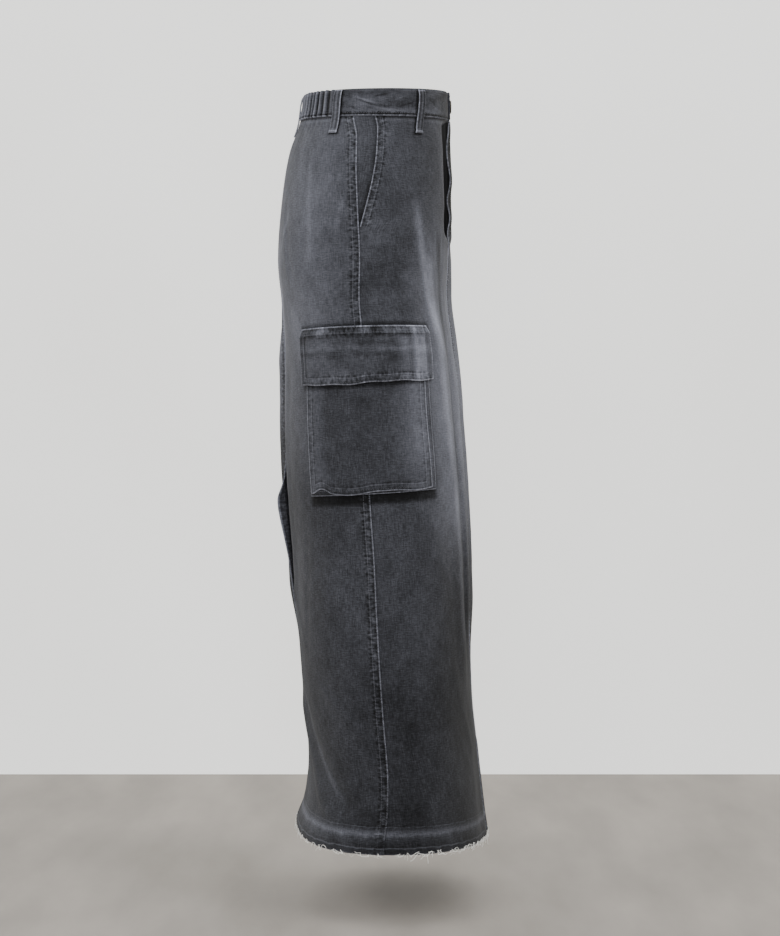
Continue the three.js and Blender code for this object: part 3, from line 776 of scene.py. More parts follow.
@dataclass(frozen=True)
class Facings:
    """The hip pocket facings between the slanted mouths and the side seams."""

    foot: float = -152.0
    long: float = 0.134
    under: float = 8.0

    def build(self, cloth: bpy.types.Material) -> list[bpy.types.Object]:
        """Makes both facings.

        Args:
            cloth: The denim.
        Returns:
            The facings.
        """
        return [self._facing(word, side, cloth) for word, side in SIDES.items()]

    def _facing(self, word: str, side: int, cloth: bpy.types.Material) -> bpy.types.Object:
        """Makes a facing: behind the front panel at its mouth, and level with the back one at the side seam.

        Args:
            word: The side's name.
            side: 1 for the wearer's right, -1 for the left.
            cloth: The denim.
        Returns:
            The facing.
        """
        z = np.arange(BAND_BOTTOM - GAP, self.foot, -2.0)
        g = grid(z, lambda h: opening(h) - self.under, lambda h: side_seam(h) + tuck(90, h), 2.5,
                 (0, 0.8, 2, 4, 7))
        past_mouth = g["angle"] - opening(g["z"])
        whole = g["angle"][:, -1:] - opening(g["z"])
        risen = np.clip(past_mouth / whole, 0, 1) * smoothstep(g["z"], self.foot, -112)
        out = -(PLY + GAP) * (1 - risen) - TUCK_SINK * risen * (1 - smoothstep(g["to"], TUCK, TUCK + TUCK_FADE))
        tone = wash_and_shading(g["angle"], g["z"]) - 0.09 + 0.12 * smoothstep(g["z"], -140, -50)
        # Painted shadow along the pocket's mouth
        tone = tone - 0.16 * (1 - smoothstep(past_mouth, 0, 2.5))
        made = Wall(f"cloth_hip_facing_{word}", side * g["angle"], g["z"], out, g["u"], PLY,
                    {"fade": np.clip(tone, 0, 1)}).build(cloth)
        wide, _, area = cut(g)
        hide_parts(f"hip_facing_{word}")
        return made


def band_level(angle: Array) -> Array:
    """Height of the band's inner face above the form."""
    return BAND_PROUD + 0 * np.asarray(angle, float)


def band_over(angle: Array) -> Array:
    """The same for the left front band, which passes over the right one at the closure."""
    return BAND_PROUD + (BAND_PLY + GAP) * smoothstep(angle, -18, -12)


@dataclass(frozen=True)
class Waistband:
    """Two plain front pieces that overlap at the closure, and the gathered elastic back."""

    underlap: float = 10.0
    overlap: float = 4.0
    high: float = 0.036
    slack: float = 1.3

    def build(self, cloth: bpy.types.Material) -> list[bpy.types.Object]:
        """Makes the three pieces.

        Args:
            cloth: The denim.
        Returns:
            The pieces.
        """
        joint = float(half_gap(BAND_JOINT, np.array([0.0]))[0])
        return [
            self._piece("waistband_front_right", -self.underlap, BAND_JOINT - joint, band_level, cloth),
            self._piece("waistband_front_left", joint - BAND_JOINT, self.overlap, band_over, cloth),
            self._piece("waistband_back", BAND_JOINT + joint, 360 - BAND_JOINT - joint,
                        lambda a: BAND_PROUD + GATHER_DEPTH * gathered(a), cloth),
        ]

    def _piece(self, name: str, start: float, end: float, out: Edge,
               cloth: bpy.types.Material) -> bpy.types.Object:
        """Makes a piece: slightly puffed between its top edge and its seam, and creased or gathered.

        Args:
            name: The node that it stands for.
            start: Angle of its first end.
            end: Angle of its last end.
            out: Height of its inner face at an angle.
            cloth: The denim.
        Returns:
            The piece.
        """
        is_back = "back" in name
        t = np.r_[0, 0.02, 0.045, np.linspace(0.07, 0.93, 30), 0.955, 0.98, 1]
        count = int((end - start) / (0.5 if is_back else 1.0))
        angle = np.broadcast_to(np.linspace(start, end, count + 1), (len(t), count + 1))
        top = band_top(angle)
        z = top + (BAND_BOTTOM - top) * t[:, None]
        level = out(angle) + 0.4 * np.sin(math.pi * t)[:, None] + 0.3 * patches(angle * 2.3, z, 17, 60)
        if is_back:
            z = z + 0.9 * gathered(angle) * smoothstep(z, 0, BAND_TOP)
            level = level + 0.3 * np.sin(t * 9)[:, None] * gathered(angle)
        level -= 0.5 * (1 - smoothstep(t, 0, 0.045))[:, None] + 0.35 * smoothstep(t, 0.955, 1)[:, None]
        steps = np.linalg.norm(np.diff(FORM.place(angle[0], z[0] * 0)[:, :2], axis=0), axis=-1)
        u = np.broadcast_to(np.r_[0, np.cumsum(steps)], angle.shape)
        creased = self._creases(angle, z)
        level = level + 2.5 * creased
        # Painted light on the ridges of the gathers and creases, and painted shade in their hollows
        tone = 0.24 + 0.5 * gathered(angle) if is_back else self._plain_tone(u, angle, z, t) + 1.5 * creased
        above = z - BAND_BOTTOM
        # Painted shadow beside the belt loops
        tone = tone - LOOPS.beside(angle, z) - 0.22 * hump((above - 2.6) / 1.8)
        tone = tone + 0.1 * hump((top - z - 2.5) / 2)
        facts = {"fade": np.clip(tone, -0.1, 1), "seam": np.where(above < 5.5, above, NO_SEAM), "run": u}
        made = Wall(f"cloth_{name}", angle, z, level, u, BAND_PLY, facts).build(cloth)
        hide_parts(name)
        return made

    @staticmethod
    def _creases(angle: Array, z: Array) -> Array:
        """The band's creases: slanting humps, the same on both sides.

        Args:
            angle: Degrees round the skirt.
            z: Heights.
        Returns:
            Above 0 on a ridge and below 0 in a groove.
        """
        total = np.zeros(np.broadcast(angle, z).shape)
        for middle, height, slope, wide, long, strength in BAND_CREASES:
            along = np.abs(turned(angle)) - middle
            total += strength * hump((z - height - slope * along) / wide) * hump(along / long)
        return total

    @staticmethod
    def _plain_tone(u: Array, angle: Array, z: Array, t: Array) -> Array:
        """How light a front piece is: patchy, worn low down and at the side, and dark by the closure.

        Args:
            u: Distances along the band.
            angle: Degrees round the skirt.
            z: Heights.
            t: 0 at the band's top to 1 at its seam.
        Returns:
            0 for dark cloth to 1 for the lightest.
        """
        around = np.abs(turned(angle))
        tone = 0.22 + 0.12 * patches(u, z * 2.5, 23, 55) + 0.14 * hump((t - 0.8) / 0.14)[:, None]
        tone = tone + 0.18 * hump((around - 96) / 11) * hump((t - 0.5) / 0.4)[:, None]
        return tone - 0.2 * (1 - smoothstep(around, 20, 52))


@dataclass(frozen=True)
class BeltLoops:
    """Strips sewn down at the band's top and below its seam."""

    half: float = 5.5
    ply: float = 1.5
    foot: float = -39.0
    bars: tuple[float, float] = (14.2, -36.6)
    flat: tuple[float, float] = (0.011, 0.057)

    ANGLES = {"front_right": 63.6, "side_right": 110.5, "back": 180.0, "side_left": 249.5, "front_left": 296.4}

    def build(self, cloth: bpy.types.Material) -> list[bpy.types.Object]:
        """Makes the five loops.

        Args:
            cloth: The denim.
        Returns:
            The loops.
        """
        return [self._loop(where, angle, cloth) for where, angle in self.ANGLES.items()]

    def beside(self, angle: Array, z: Array) -> Array:
        """How much painted shadow darkens the cloth close beside and below a belt loop.

        Args:
            angle: Degrees round the skirt.
            z: Heights.
        Returns:
            0 away from the loops.
        """
        away = np.min([np.abs(turned(angle - middle)) for middle in self.ANGLES.values()], axis=0)
        outside = np.maximum((away - 2.1) * 2.5, self.foot - z)
        return 0.34 * (1 - smoothstep(outside, 0.5, 3.2))

    def _loop(self, where: str, middle: float, cloth: bpy.types.Material) -> bpy.types.Object:
        """Makes a loop: a strip that bows out over the band, with painted shade in two grooves and a bartack at
        each end.

        Args:
            where: The loop's place.
            middle: Angle of its middle.
            cloth: The denim.
        Returns:
            The loop.
        """
        top = float(band_top(middle)) - 0.5
        bow = np.array([(top, 1.3), (10, 3.6), (0, 4.2), (-10, 3.6), (-22, 2.2), (-31, 1.3), (self.foot, 1.2)])
        z = np.linspace(top, self.foot, 56)
        lift = np.interp(-z, -bow[:, 0], bow[:, 1])
        lift = np.convolve(np.pad(lift, 2, "edge"), np.ones(5) / 5, "valid")
        across = np.array([-1, -0.93, -0.82, -0.66, -0.4, -0.13, 0.13, 0.4, 0.66, 0.82, 0.93, 1])
        reach = self.half / float(arc(middle, np.array([0.0]))[0])
        angle = middle + np.broadcast_to(across, (len(z), len(across))) * reach
        heights = np.repeat(z[:, None], len(across), 1)
        dome = 0.35 * (1 - across ** 4) - 0.25 * hump(across / 0.25)
        out = lift[:, None] + self.ply + dome
        # Painted shade in two grooves down the loop, fainter near its foot
        groove_shade = hump((np.abs(across) - 0.5) / 0.3) * (1 - 0.8 * smoothstep(-heights, 33, 35))
        bar = hump((heights - self.bars[1]) / 1.6) + hump((heights - self.bars[0]) / 1.5)
        facts = {
            "fade": (0.34 if "front" in where else 0.46) - 0.24 * groove_shade + 0.55 * bar,
            "seam": 0.9 + np.minimum(self.half * (1 - np.abs(across)), heights - self.foot),
            "run": heights,
            "crimp": np.float64(0.3),
        }
        made = Wall(f"cloth_belt_loop_{where}", angle, heights, out, across * self.half + 0 * out, self.ply,
                    facts).build(cloth)
        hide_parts(f"belt_loop_{where}")
        return made


LOOPS = BeltLoops()


def forwards(s: Array, z: Array) -> Array:
    """The angle that lies s forwards of the right side seam along the cloth.

    It walks there in even steps, each turned to degrees by the arc length at the place that is reached.

    Args:
        s: Distance forwards.
        z: Height.
    Returns:
        Degrees.
    """
    s, z = np.broadcast_arrays(np.asarray(s, float), np.asarray(z, float))
    angle, steps = side_seam(z), 24
    for _ in range(steps):
        angle = angle - s / steps / arc(angle, z)
    return angle


@dataclass(frozen=True)
class PocketEdge:
    """A pocket edge: it rises forwards in proportion to the distance and droops by its square."""

    middle: float
    rise: float
    droop: float = 0.0

    def __call__(self, s: Array) -> Array:
        """Height of the edge at a distance forwards of the side seam."""
        return self.middle + self.rise * s - self.droop * s * s


@dataclass(frozen=True)
class CargoPockets:
    """A gusset, a pocket front and a flap on each side seam.

    Half widths are along the cloth, and "on" is how high a layer's inner face stands above the form.
    """

    half: float = 81.0
    mouth: float = 10.0
    flap_half: float = 91.0
    flap_ply: float = 2.4
    flap_drawn: float = 0.965
    fold_front: float = 9.0
    fold_back: float = 3.0
    depth: float = 12.0
    lean: float = 5.0
    on_panel: float = LAP_HEIGHT + 2 * GAP
    on_gusset: float = LAP_HEIGHT + PLY + 3.5 * GAP
    on_pocket: float = LAP_HEIGHT + 2 * PLY + 4.5 * GAP
    flap_top: PocketEdge = PocketEdge(-278.1, 0.029, 0.00037)
    flap_foot: PocketEdge = PocketEdge(-349.0, 0.058, 0.00008)
    foot: PocketEdge = PocketEdge(-483.0, 0.058)

    def build(self, cloth: bpy.types.Material) -> list[bpy.types.Object]:
        """Makes both pockets.

        Args:
            cloth: The denim.
        Returns:
            The pieces.
        """
        return [make(word, side, cloth) for word, side in SIDES.items()
                for make in (self._gusset, self._front, self._flap)]

    def beside(self, s: Array, z: Array) -> Array:
        """How much painted shadow darkens the cloth close round a cargo pocket and its flap.

        Args:
            s: Distance forwards of the side seam.
            z: Heights.
        Returns:
            0 away from the pocket.
        """
        beyond_flap = np.maximum.reduce([np.abs(s) - self.flap_half, z - self.flap_top(s),
                                         self.flap_foot(s) - z])
        leaning = self.lean * smoothstep(z, -470, -350)
        beyond_front = np.maximum.reduce([s - self.half - self.fold_front + leaning, -self.half - 2 - s,
                                          z - self.flap_foot(s), self.foot(s) - self.depth - z])
        return 0.3 * (1 - smoothstep(np.minimum(beyond_flap, beyond_front), 0, 6))

    def leaned(self, s: Array, z: Array) -> Array:
        """Leans the pocket's front edge back towards its mouth."""
        return s - self.lean * smoothstep(s, 30, self.half) * smoothstep(z, -470, -350)

    @staticmethod
    def _columns(half_width: float) -> Array:
        """Spaces a piece's columns, close together near both ends.

        Args:
            half_width: Half of the piece's width.
        Returns:
            Distances forwards of the seam.
        """
        near = np.array([0, 0.7, 1.5, 2.6, 4.5, 7, 10])
        middle = np.linspace(-half_width + 13, half_width - 13, 58)
        return np.r_[near - half_width, middle, half_width - near[::-1]]

    def _front(self, word: str, side: int, cloth: bpy.types.Material) -> bpy.types.Object:
        """Makes a pocket front: raised on its gusset at the edges, sunk in the middle, with a waving foot.

        Args:
            word: The side's name.
            side: 1 for the wearer's right, -1 for the left.
            cloth: The denim.
        Returns:
            The pocket front.
        """
        s = self._columns(self.half)
        up = np.array([0, 0.7, 1.5, 2.6, 4.5, 7, 10, 13])
        high = self.flap_top(s) - self.mouth
        low = self.foot(s) + 5.3 * hump((s + 62) / 17) - 3.4 * hump((s + 24) / 34) - 1.8 * hump((s - 58) / 26)
        rows = high + (low + 16 - high) * np.linspace(0, 1, 62)[:, None]
        z = np.concatenate([rows, low + up[::-1, None]])
        s2 = self.leaned(np.broadcast_to(s, z.shape), z)
        from_edge = np.minimum(self.half - np.abs(s), z - low)
        risen = 1 - smoothstep(from_edge, 13, 30)
        out = self.on_panel + (self.on_gusset - self.on_panel) * risen + PLY
        out = out + 0.9 * patches(s2, z, 31, 90) * smoothstep(from_edge, 4, 30)
        out += 0.7 * hump((s2 + 40 + (z + 400) * 0.3) / 12) * smoothstep(from_edge, 5, 25)
        worn = 0.1 * smoothstep(s2, 24, 45) + 0.22 * smoothstep(s2, 40, 66)
        tone = 0.17 + worn * (1 - 0.5 * smoothstep(-z, 420, 470)) + 0.17 * smoothstep(-s2, 45, 68)
        # Painted shadow on the pocket just under the flap's foot
        tone = tone + 0.03 * patches(s2, z, 41, 60) - 0.3 * (1 - smoothstep(self.flap_foot(s2) - z, 0.5, 7))
        facts = {"fade": np.clip(tone, 0, 1), "seam": from_edge, "run": np.where(z - low < 14, s2, z),
                 "crimp": np.float64(0.45)}
        made = Wall(f"cloth_cargo_pocket_{word}", side * forwards(s2, z), z, out, s2, PLY, facts).build(cloth)
        return self._declare(made, f"cargo_pocket_{word}", Slot.DENIM, (0.162, 0.2), Hold.HUNG)

    def _gusset(self, word: str, side: int, cloth: bpy.types.Material) -> bpy.types.Object:
        """Makes a gusset: a strip that runs down the back, along the foot and up the front of the pocket.

        Across the strip, t goes from 0 at its outer fold to 1 at its inner edge. The fold stands out more at
        the front.

        Args:
            word: The side's name.
            side: 1 for the wearer's right, -1 for the left.
            cloth: The denim.
        Returns:
            The gusset.
        """
        reach, top = self.half, 14.0
        down = np.linspace(1, 0, 36)
        back_z, front_z = (self.foot(end) * down + (self.flap_top(end) - self.mouth - top) * (1 - down)
                           for end in (-reach, reach))
        foot_s = np.linspace(-reach, reach, 60)
        s = np.r_[np.full(35, -reach), foot_s, np.full(35, reach)][:, None]
        z = np.r_[back_z[::-1][:-1], self.foot(foot_s), front_z[1:]][:, None]
        at_back, at_front, at_foot = s <= -reach + 0.01, s >= reach - 0.01, z <= self.foot(s) + 0.01
        t = np.array([0, 0.03, 0.08, 0.16, 0.3, 0.45, 0.65, 0.85, 1])
        crease = 0.32 * np.sin(np.arange(len(s)) / 4.1)[:, None]
        from_back = self.fold_back - (self.depth + self.fold_back) * t
        from_front = self.fold_front + crease - (self.depth + self.fold_front) * t
        s2 = self.leaned(s, z) - at_back * from_back + at_front * from_front
        z2 = z - at_foot * from_back
        out = self.on_panel + PLY + 0.5 * np.sin(t * math.pi * 2) * at_front + 0 * s2
        run = np.broadcast_to(np.arange(len(s))[:, None] * 4.0, s2.shape)
        facts = {"fade": 0.16 + 0.22 * at_front + 0.06 * np.sin(run / 9) * at_front, "seam": 20 * t,
                 "run": run, "crimp": np.float64(0.2)}
        made = Wall(f"cloth_cargo_gusset_{word}", side * forwards(s2, z2), z2, out, s2, PLY, facts).build(cloth)
        return self._declare(made, f"cargo_gusset_{word}", Slot.DARK, (0.52, 0.021), Hold.FOLDED)

    def _flap(self, word: str, side: int, cloth: bpy.types.Material) -> bpy.types.Object:
        """Makes a flap: flat on the panel along its top, risen over the pocket, with a waving foot.

        Args:
            word: The side's name.
            side: 1 for the wearer's right, -1 for the left.
            cloth: The denim.
        Returns:
            The flap.
        """
        s = self._columns(self.flap_half)
        t = np.r_[0, 0.01, 0.025, 0.05, np.linspace(0.09, 0.9, 26), 0.94, 0.965, 0.985, 1][:, None]
        z = self.flap_top(s) + (self.flap_foot(s) - self.flap_top(s)) * t
        z = z + t ** 2 * (0.9 * np.sin(s / 17) + 0.6 * np.sin(s / 7 + 1))
        s2 = np.broadcast_to(s, z.shape)
        out = self.on_panel + (self.on_pocket - self.on_panel) * smoothstep(t, 0.0, 0.14) + self.flap_ply
        out = out + (0.8 * patches(s2, z, 51, 70) + 0.6) * smoothstep(t, 0.1, 0.6)
        from_edge = np.minimum(self.flap_half - np.abs(s2), np.minimum(z - z[-1:], z[:1] - z))
        made = Wall(f"cloth_cargo_flap_{word}", side * forwards(self.flap_drawn * s2, z), z, out, s2,
                    self.flap_ply, {"fade": self._flap_tone(s2, z, t), "seam": from_edge, "run": s2,
                                    "crimp": np.float64(0.8)}).build(cloth)
        return self._declare(made, f"cargo_flap_{word}", Slot.DENIM, (0.176, 0.071), Hold.HUNG)

    @staticmethod
    def _flap_tone(s: Array, z: Array, t: Array) -> Array:
        """How light a flap is: worn towards both ends, streaked, and patchy along its folded top.

        Args:
            s: Distances forwards of the side seam.
            z: Heights.
            t: 0 at the flap's top to 1 at its foot.
        Returns:
            0 for dark cloth to 1 for the lightest.
        """
        tone = 0.21 + 0.2 * smoothstep(s, 34, 54) + 0.22 * smoothstep(s, 54, 72) + 0.12 * smoothstep(-s, 5, 60)
        tone = tone + 0.14 * hump((s - 66) / 4) - 0.1 * hump((s - 58) / 4) - 0.36 * hump((s - 84.5) / 4)
        tone = tone + 0.06 * patches(s, z, 61, 50) + 0.08 * hump((s - 42) / 20) * hump((t - 0.35) / 0.3)
        tone = tone - 0.12 * hump((t - 0.17) / 0.06) + 0.3 * patches(s, 0 * z, 67, 40) * hump((t - 0.07) / 0.13)
        tone = tone + 0.14 * patches(s * 0.5, z * 2, 71, 40) * hump((t - 0.4) / 0.25)
        return np.clip(tone, 0, 1)

    @staticmethod
    def _declare(made: bpy.types.Object, node: str, slot: Slot, flat: tuple[float, float],
                 held: Hold) -> bpy.types.Object:
        """Hides the CAD part that a pocket piece stands for.

        Args:
            made: The piece.
            node: The CAD node.
            slot: Its material slot; not used.
            flat: Its flat width and length, in metres; not used.
            held: How it is held; not used.
        Returns:
            The piece.
        """
        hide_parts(node)
        return made


POCKETS = CargoPockets()


@dataclass(frozen=True)
class Fray:
    """Loose weft threads along the raw hem."""

    slit: float = 2.2
    fuzz_a_degree: float = 3.2
    loops_a_degree: float = 0.4
    loops_behind: float = 0.2

    # Waves of a looping thread: two along the hem, two up and down, one out. Least and most size, and turns
    WAVES = {
        "size": ((1, 0.5, 1.2, 0.5, 0.2), (2.6, 1.6, 2.8, 1.3, 0.6)),
        "turns": ((0.6, 1.4, 0.7, 1.6, 0.8), (1.3, 2.6, 1.5, 3.0, 1.6)),
    }

    def build(self, thread: bpy.types.Material) -> list[bpy.types.Object]:
        """Makes the threads of each stretch of hem.

        Args:
            thread: The undyed weft.
        Returns:
            The three pieces.
        """
        stretches = {"fray_front": (-91.8, 91.8), "fray_back_right": (92.2, 180 - self.slit),
                     "fray_back_left": (180 + self.slit, 267.8)}
        made = []
        for seed, (name, (start, end)) in enumerate(stretches.items()):
            piece = self._threads(name, start, end, seed, thread)
            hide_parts(name)
            made.append(piece)
        return made

    def _threads(self, name: str, start: float, end: float, seed: int,
                 thread: bpy.types.Material) -> bpy.types.Object:
        """Makes short fuzz, and longer threads that loop along the edge, as bent tubes that get thinner.

        Args:
            name: The node that they stand for.
            start: Angle where the stretch starts.
            end: Angle where it ends.
            seed: Picks the threads.
            thread: The undyed weft.
        Returns:
            One joined piece.
        """
        random = np.random.default_rng(70 + seed)
        often = self.loops_a_degree if "front" in name else self.loops_behind
        fuzz = self._fuzz(random, int((end - start) * self.fuzz_a_degree), start, end)
        loops = self._loops(random, int((end - start) * often), start, end)
        points, faces = [], []
        for spine, thick in (fuzz, loops):
            tube, skin = self._tubes(spine, thick)
            faces.append(skin + sum(len(part) for part in points))
            points.append(tube)
        return make_mesh(f"threads_{name}", np.concatenate(points) * MM, np.concatenate(faces), thread)

    @staticmethod
    def _fuzz(random: np.random.Generator, count: int, start: float, end: float) -> tuple[Array, Array]:
        """Lays threads that hang from the edge and lean along it, in uneven tufts.

        Args:
            random: Where the draws come from.
            count: How many threads.
            start: Angle where the stretch starts.
            end: Angle where it ends.
        Returns:
            The points of each thread, and their thickness.
        """
        root = random.uniform(start + 2, end - 2, count)
        root = (root + 0.7 * np.sin(root * 0.9) + 0.4 * np.sin(root * 2.3))[:, None]
        length = np.minimum(random.gamma(1.6, 1.5, count) + 0.6, 8)[:, None]
        t = np.linspace(0, 1, 6)[None, :]
        lean, bend = random.normal(0, 0.8, (2, count, 1))
        along = length * (lean * t + bend * t * t)
        out = -PLY * random.uniform(0.2, 0.8, (count, 1)) + random.normal(0.2, 1.0, (count, 1)) * t * t
        fall = length * (t - 0.3 * np.abs(lean) * t * t)
        spine = FORM.place(root + along / HEM_ARC, hem(root) + 1.6 - fall, out)
        return spine, random.uniform(0.12, 0.24, (count, 1)) * (1 - 0.5 * t)

    def _loops(self, random: np.random.Generator, count: int, start: float, end: float) -> tuple[Array, Array]:
        """Lays threads that wander over the edge. Each path is a sum of sine waves, and some let a tail hang.

        Args:
            random: Where the draws come from.
            count: How many threads.
            start: Angle where the stretch starts.
            end: Angle where it ends.
        Returns:
            The points of each thread, and their thickness.
        """
        cell = (end - start - 6) / count
        root = (start + 1 + cell * (np.arange(count) + random.uniform(-0.3, 0.9, count)))[:, None]
        long = random.uniform(4, 15, (count, 1))
        tail = np.where(random.uniform(size=(count, 1)) < 0.25, random.uniform(3, 10, (count, 1)), 0.0)
        t = np.linspace(0, 1, 26)[None, :]
        size = random.uniform(*self.WAVES["size"], (count, 5)).T[..., None]
        turns = random.uniform(*self.WAVES["turns"], (count, 5)).T[..., None]
        waves = size * np.sin(2 * math.pi * turns * t + random.uniform(0, 6.3, (5, count, 1)))
        angle = root + (long * t + waves[0] + waves[1]) / HEM_ARC
        fall = 0.8 + waves[2] + waves[3] + tail * smoothstep(t, 0.7, 1)
        spine = FORM.place(angle, hem(angle) + 1.2 - fall, 1.1 + waves[4])
        return spine, random.uniform(0.3, 0.52, (count, 1)) * (1 - 0.45 * t * t)

    @staticmethod
    def _tubes(spine: Array, thick: Array) -> tuple[Array, Array]:
        """Puts three-sided tubes round many threads of one number of points.

        Args:
            spine: The points of each thread.
            thick: Their thickness.
        Returns:
            The tubes' points and triangles.
        """
        ahead = np.gradient(spine, axis=1)
        ahead /= np.linalg.norm(ahead, axis=-1, keepdims=True)
        radial = spine * [1, 1, 0]
        radial /= np.linalg.norm(radial, axis=-1, keepdims=True)
        side = np.cross(ahead, radial)
        side /= np.maximum(np.linalg.norm(side, axis=-1, keepdims=True), 1e-6)
        other = np.cross(side, ahead)
        rings = [spine + thick[..., None] * (math.cos(turn) * side + math.sin(turn) * other)
                 for turn in (0.0, 2.094, 4.189)]
        points = np.stack(rings, 2)
        index = np.arange(points[..., 0].size).reshape(points.shape[:3])
        beside = np.roll(index, -1, 2)
        quads = np.stack([index[:, :-1], beside[:, :-1], beside[:, 1:], index[:, 1:]], -1).reshape(-1, 4)
        skin = np.concatenate([quads[:, :3], quads[:, [0, 2, 3]], index[:, 0, ::-1], index[:, -1]])
        return points.reshape(-1, 3), skin


class Stitching:
    """Rows of topstitches, each stitch a low spindle lying on the cloth."""

    PITCH, LONG, THICK = 3.1, 2.4, 0.34
    # A spindle's points are its two ends, then its side, top, other side and underside
    SPINDLE = np.array([[0, 2, 3], [0, 3, 4], [0, 4, 5], [0, 5, 2],
                        [1, 3, 2], [1, 4, 3], [1, 5, 4], [1, 2, 5]])

    def __init__(self) -> None:
        """Starts without rows."""
        self.rows: list[Array] = []
        self.steps: list[Array] = []

    def along(self, angle: Array, z: Array, out: Array | float) -> None:
        """Adds a row of stitches.

        Args:
            angle: Angles of the row's points, in order.
            z: Heights of the points.
            out: Height of the cloth's face above the form.
        """
        line = FORM.place(angle, z, out)
        length = np.r_[0, np.cumsum(np.linalg.norm(np.diff(line, axis=0), axis=-1))]
        where = np.arange(self.PITCH / 2, length[-1] - self.PITCH / 2, self.PITCH)
        middle = np.stack([np.interp(where, length, line[:, k]) for k in range(3)], -1)
        ahead = np.stack([np.interp(where + 0.3, length, line[:, k]) for k in range(3)], -1) - middle
        self.rows.append(middle)
        self.steps.append(ahead / np.linalg.norm(ahead, axis=-1, keepdims=True))

    def build(self, name: str, thread: bpy.types.Material) -> bpy.types.Object:
        """Joins the rows to one piece.

        Args:
            name: The piece's name.
            thread: The sewing thread.
        Returns:
            The piece.
        """
        middle, step = np.concatenate(self.rows), np.concatenate(self.steps)
        radial = middle * [1, 1, 0]
        radial /= np.linalg.norm(radial, axis=-1, keepdims=True)
        across = np.cross(step, radial)
        across /= np.linalg.norm(across, axis=-1, keepdims=True)
        up = np.cross(across, step)
        half_long, thick = self.LONG / 2, self.THICK
        points = np.stack([
            middle - half_long * step - 0.15 * up, middle + half_long * step - 0.15 * up,
            middle + thick * across, middle + thick * up, middle - thick * across, middle - thick * up * 0.8,
        ], 1)
        base = (np.arange(len(middle)) * 6)[:, None, None]
        made = make_mesh(name, points.reshape(-1, 3) * MM, (base + self.SPINDLE).reshape(-1, 3), thread)
        return made


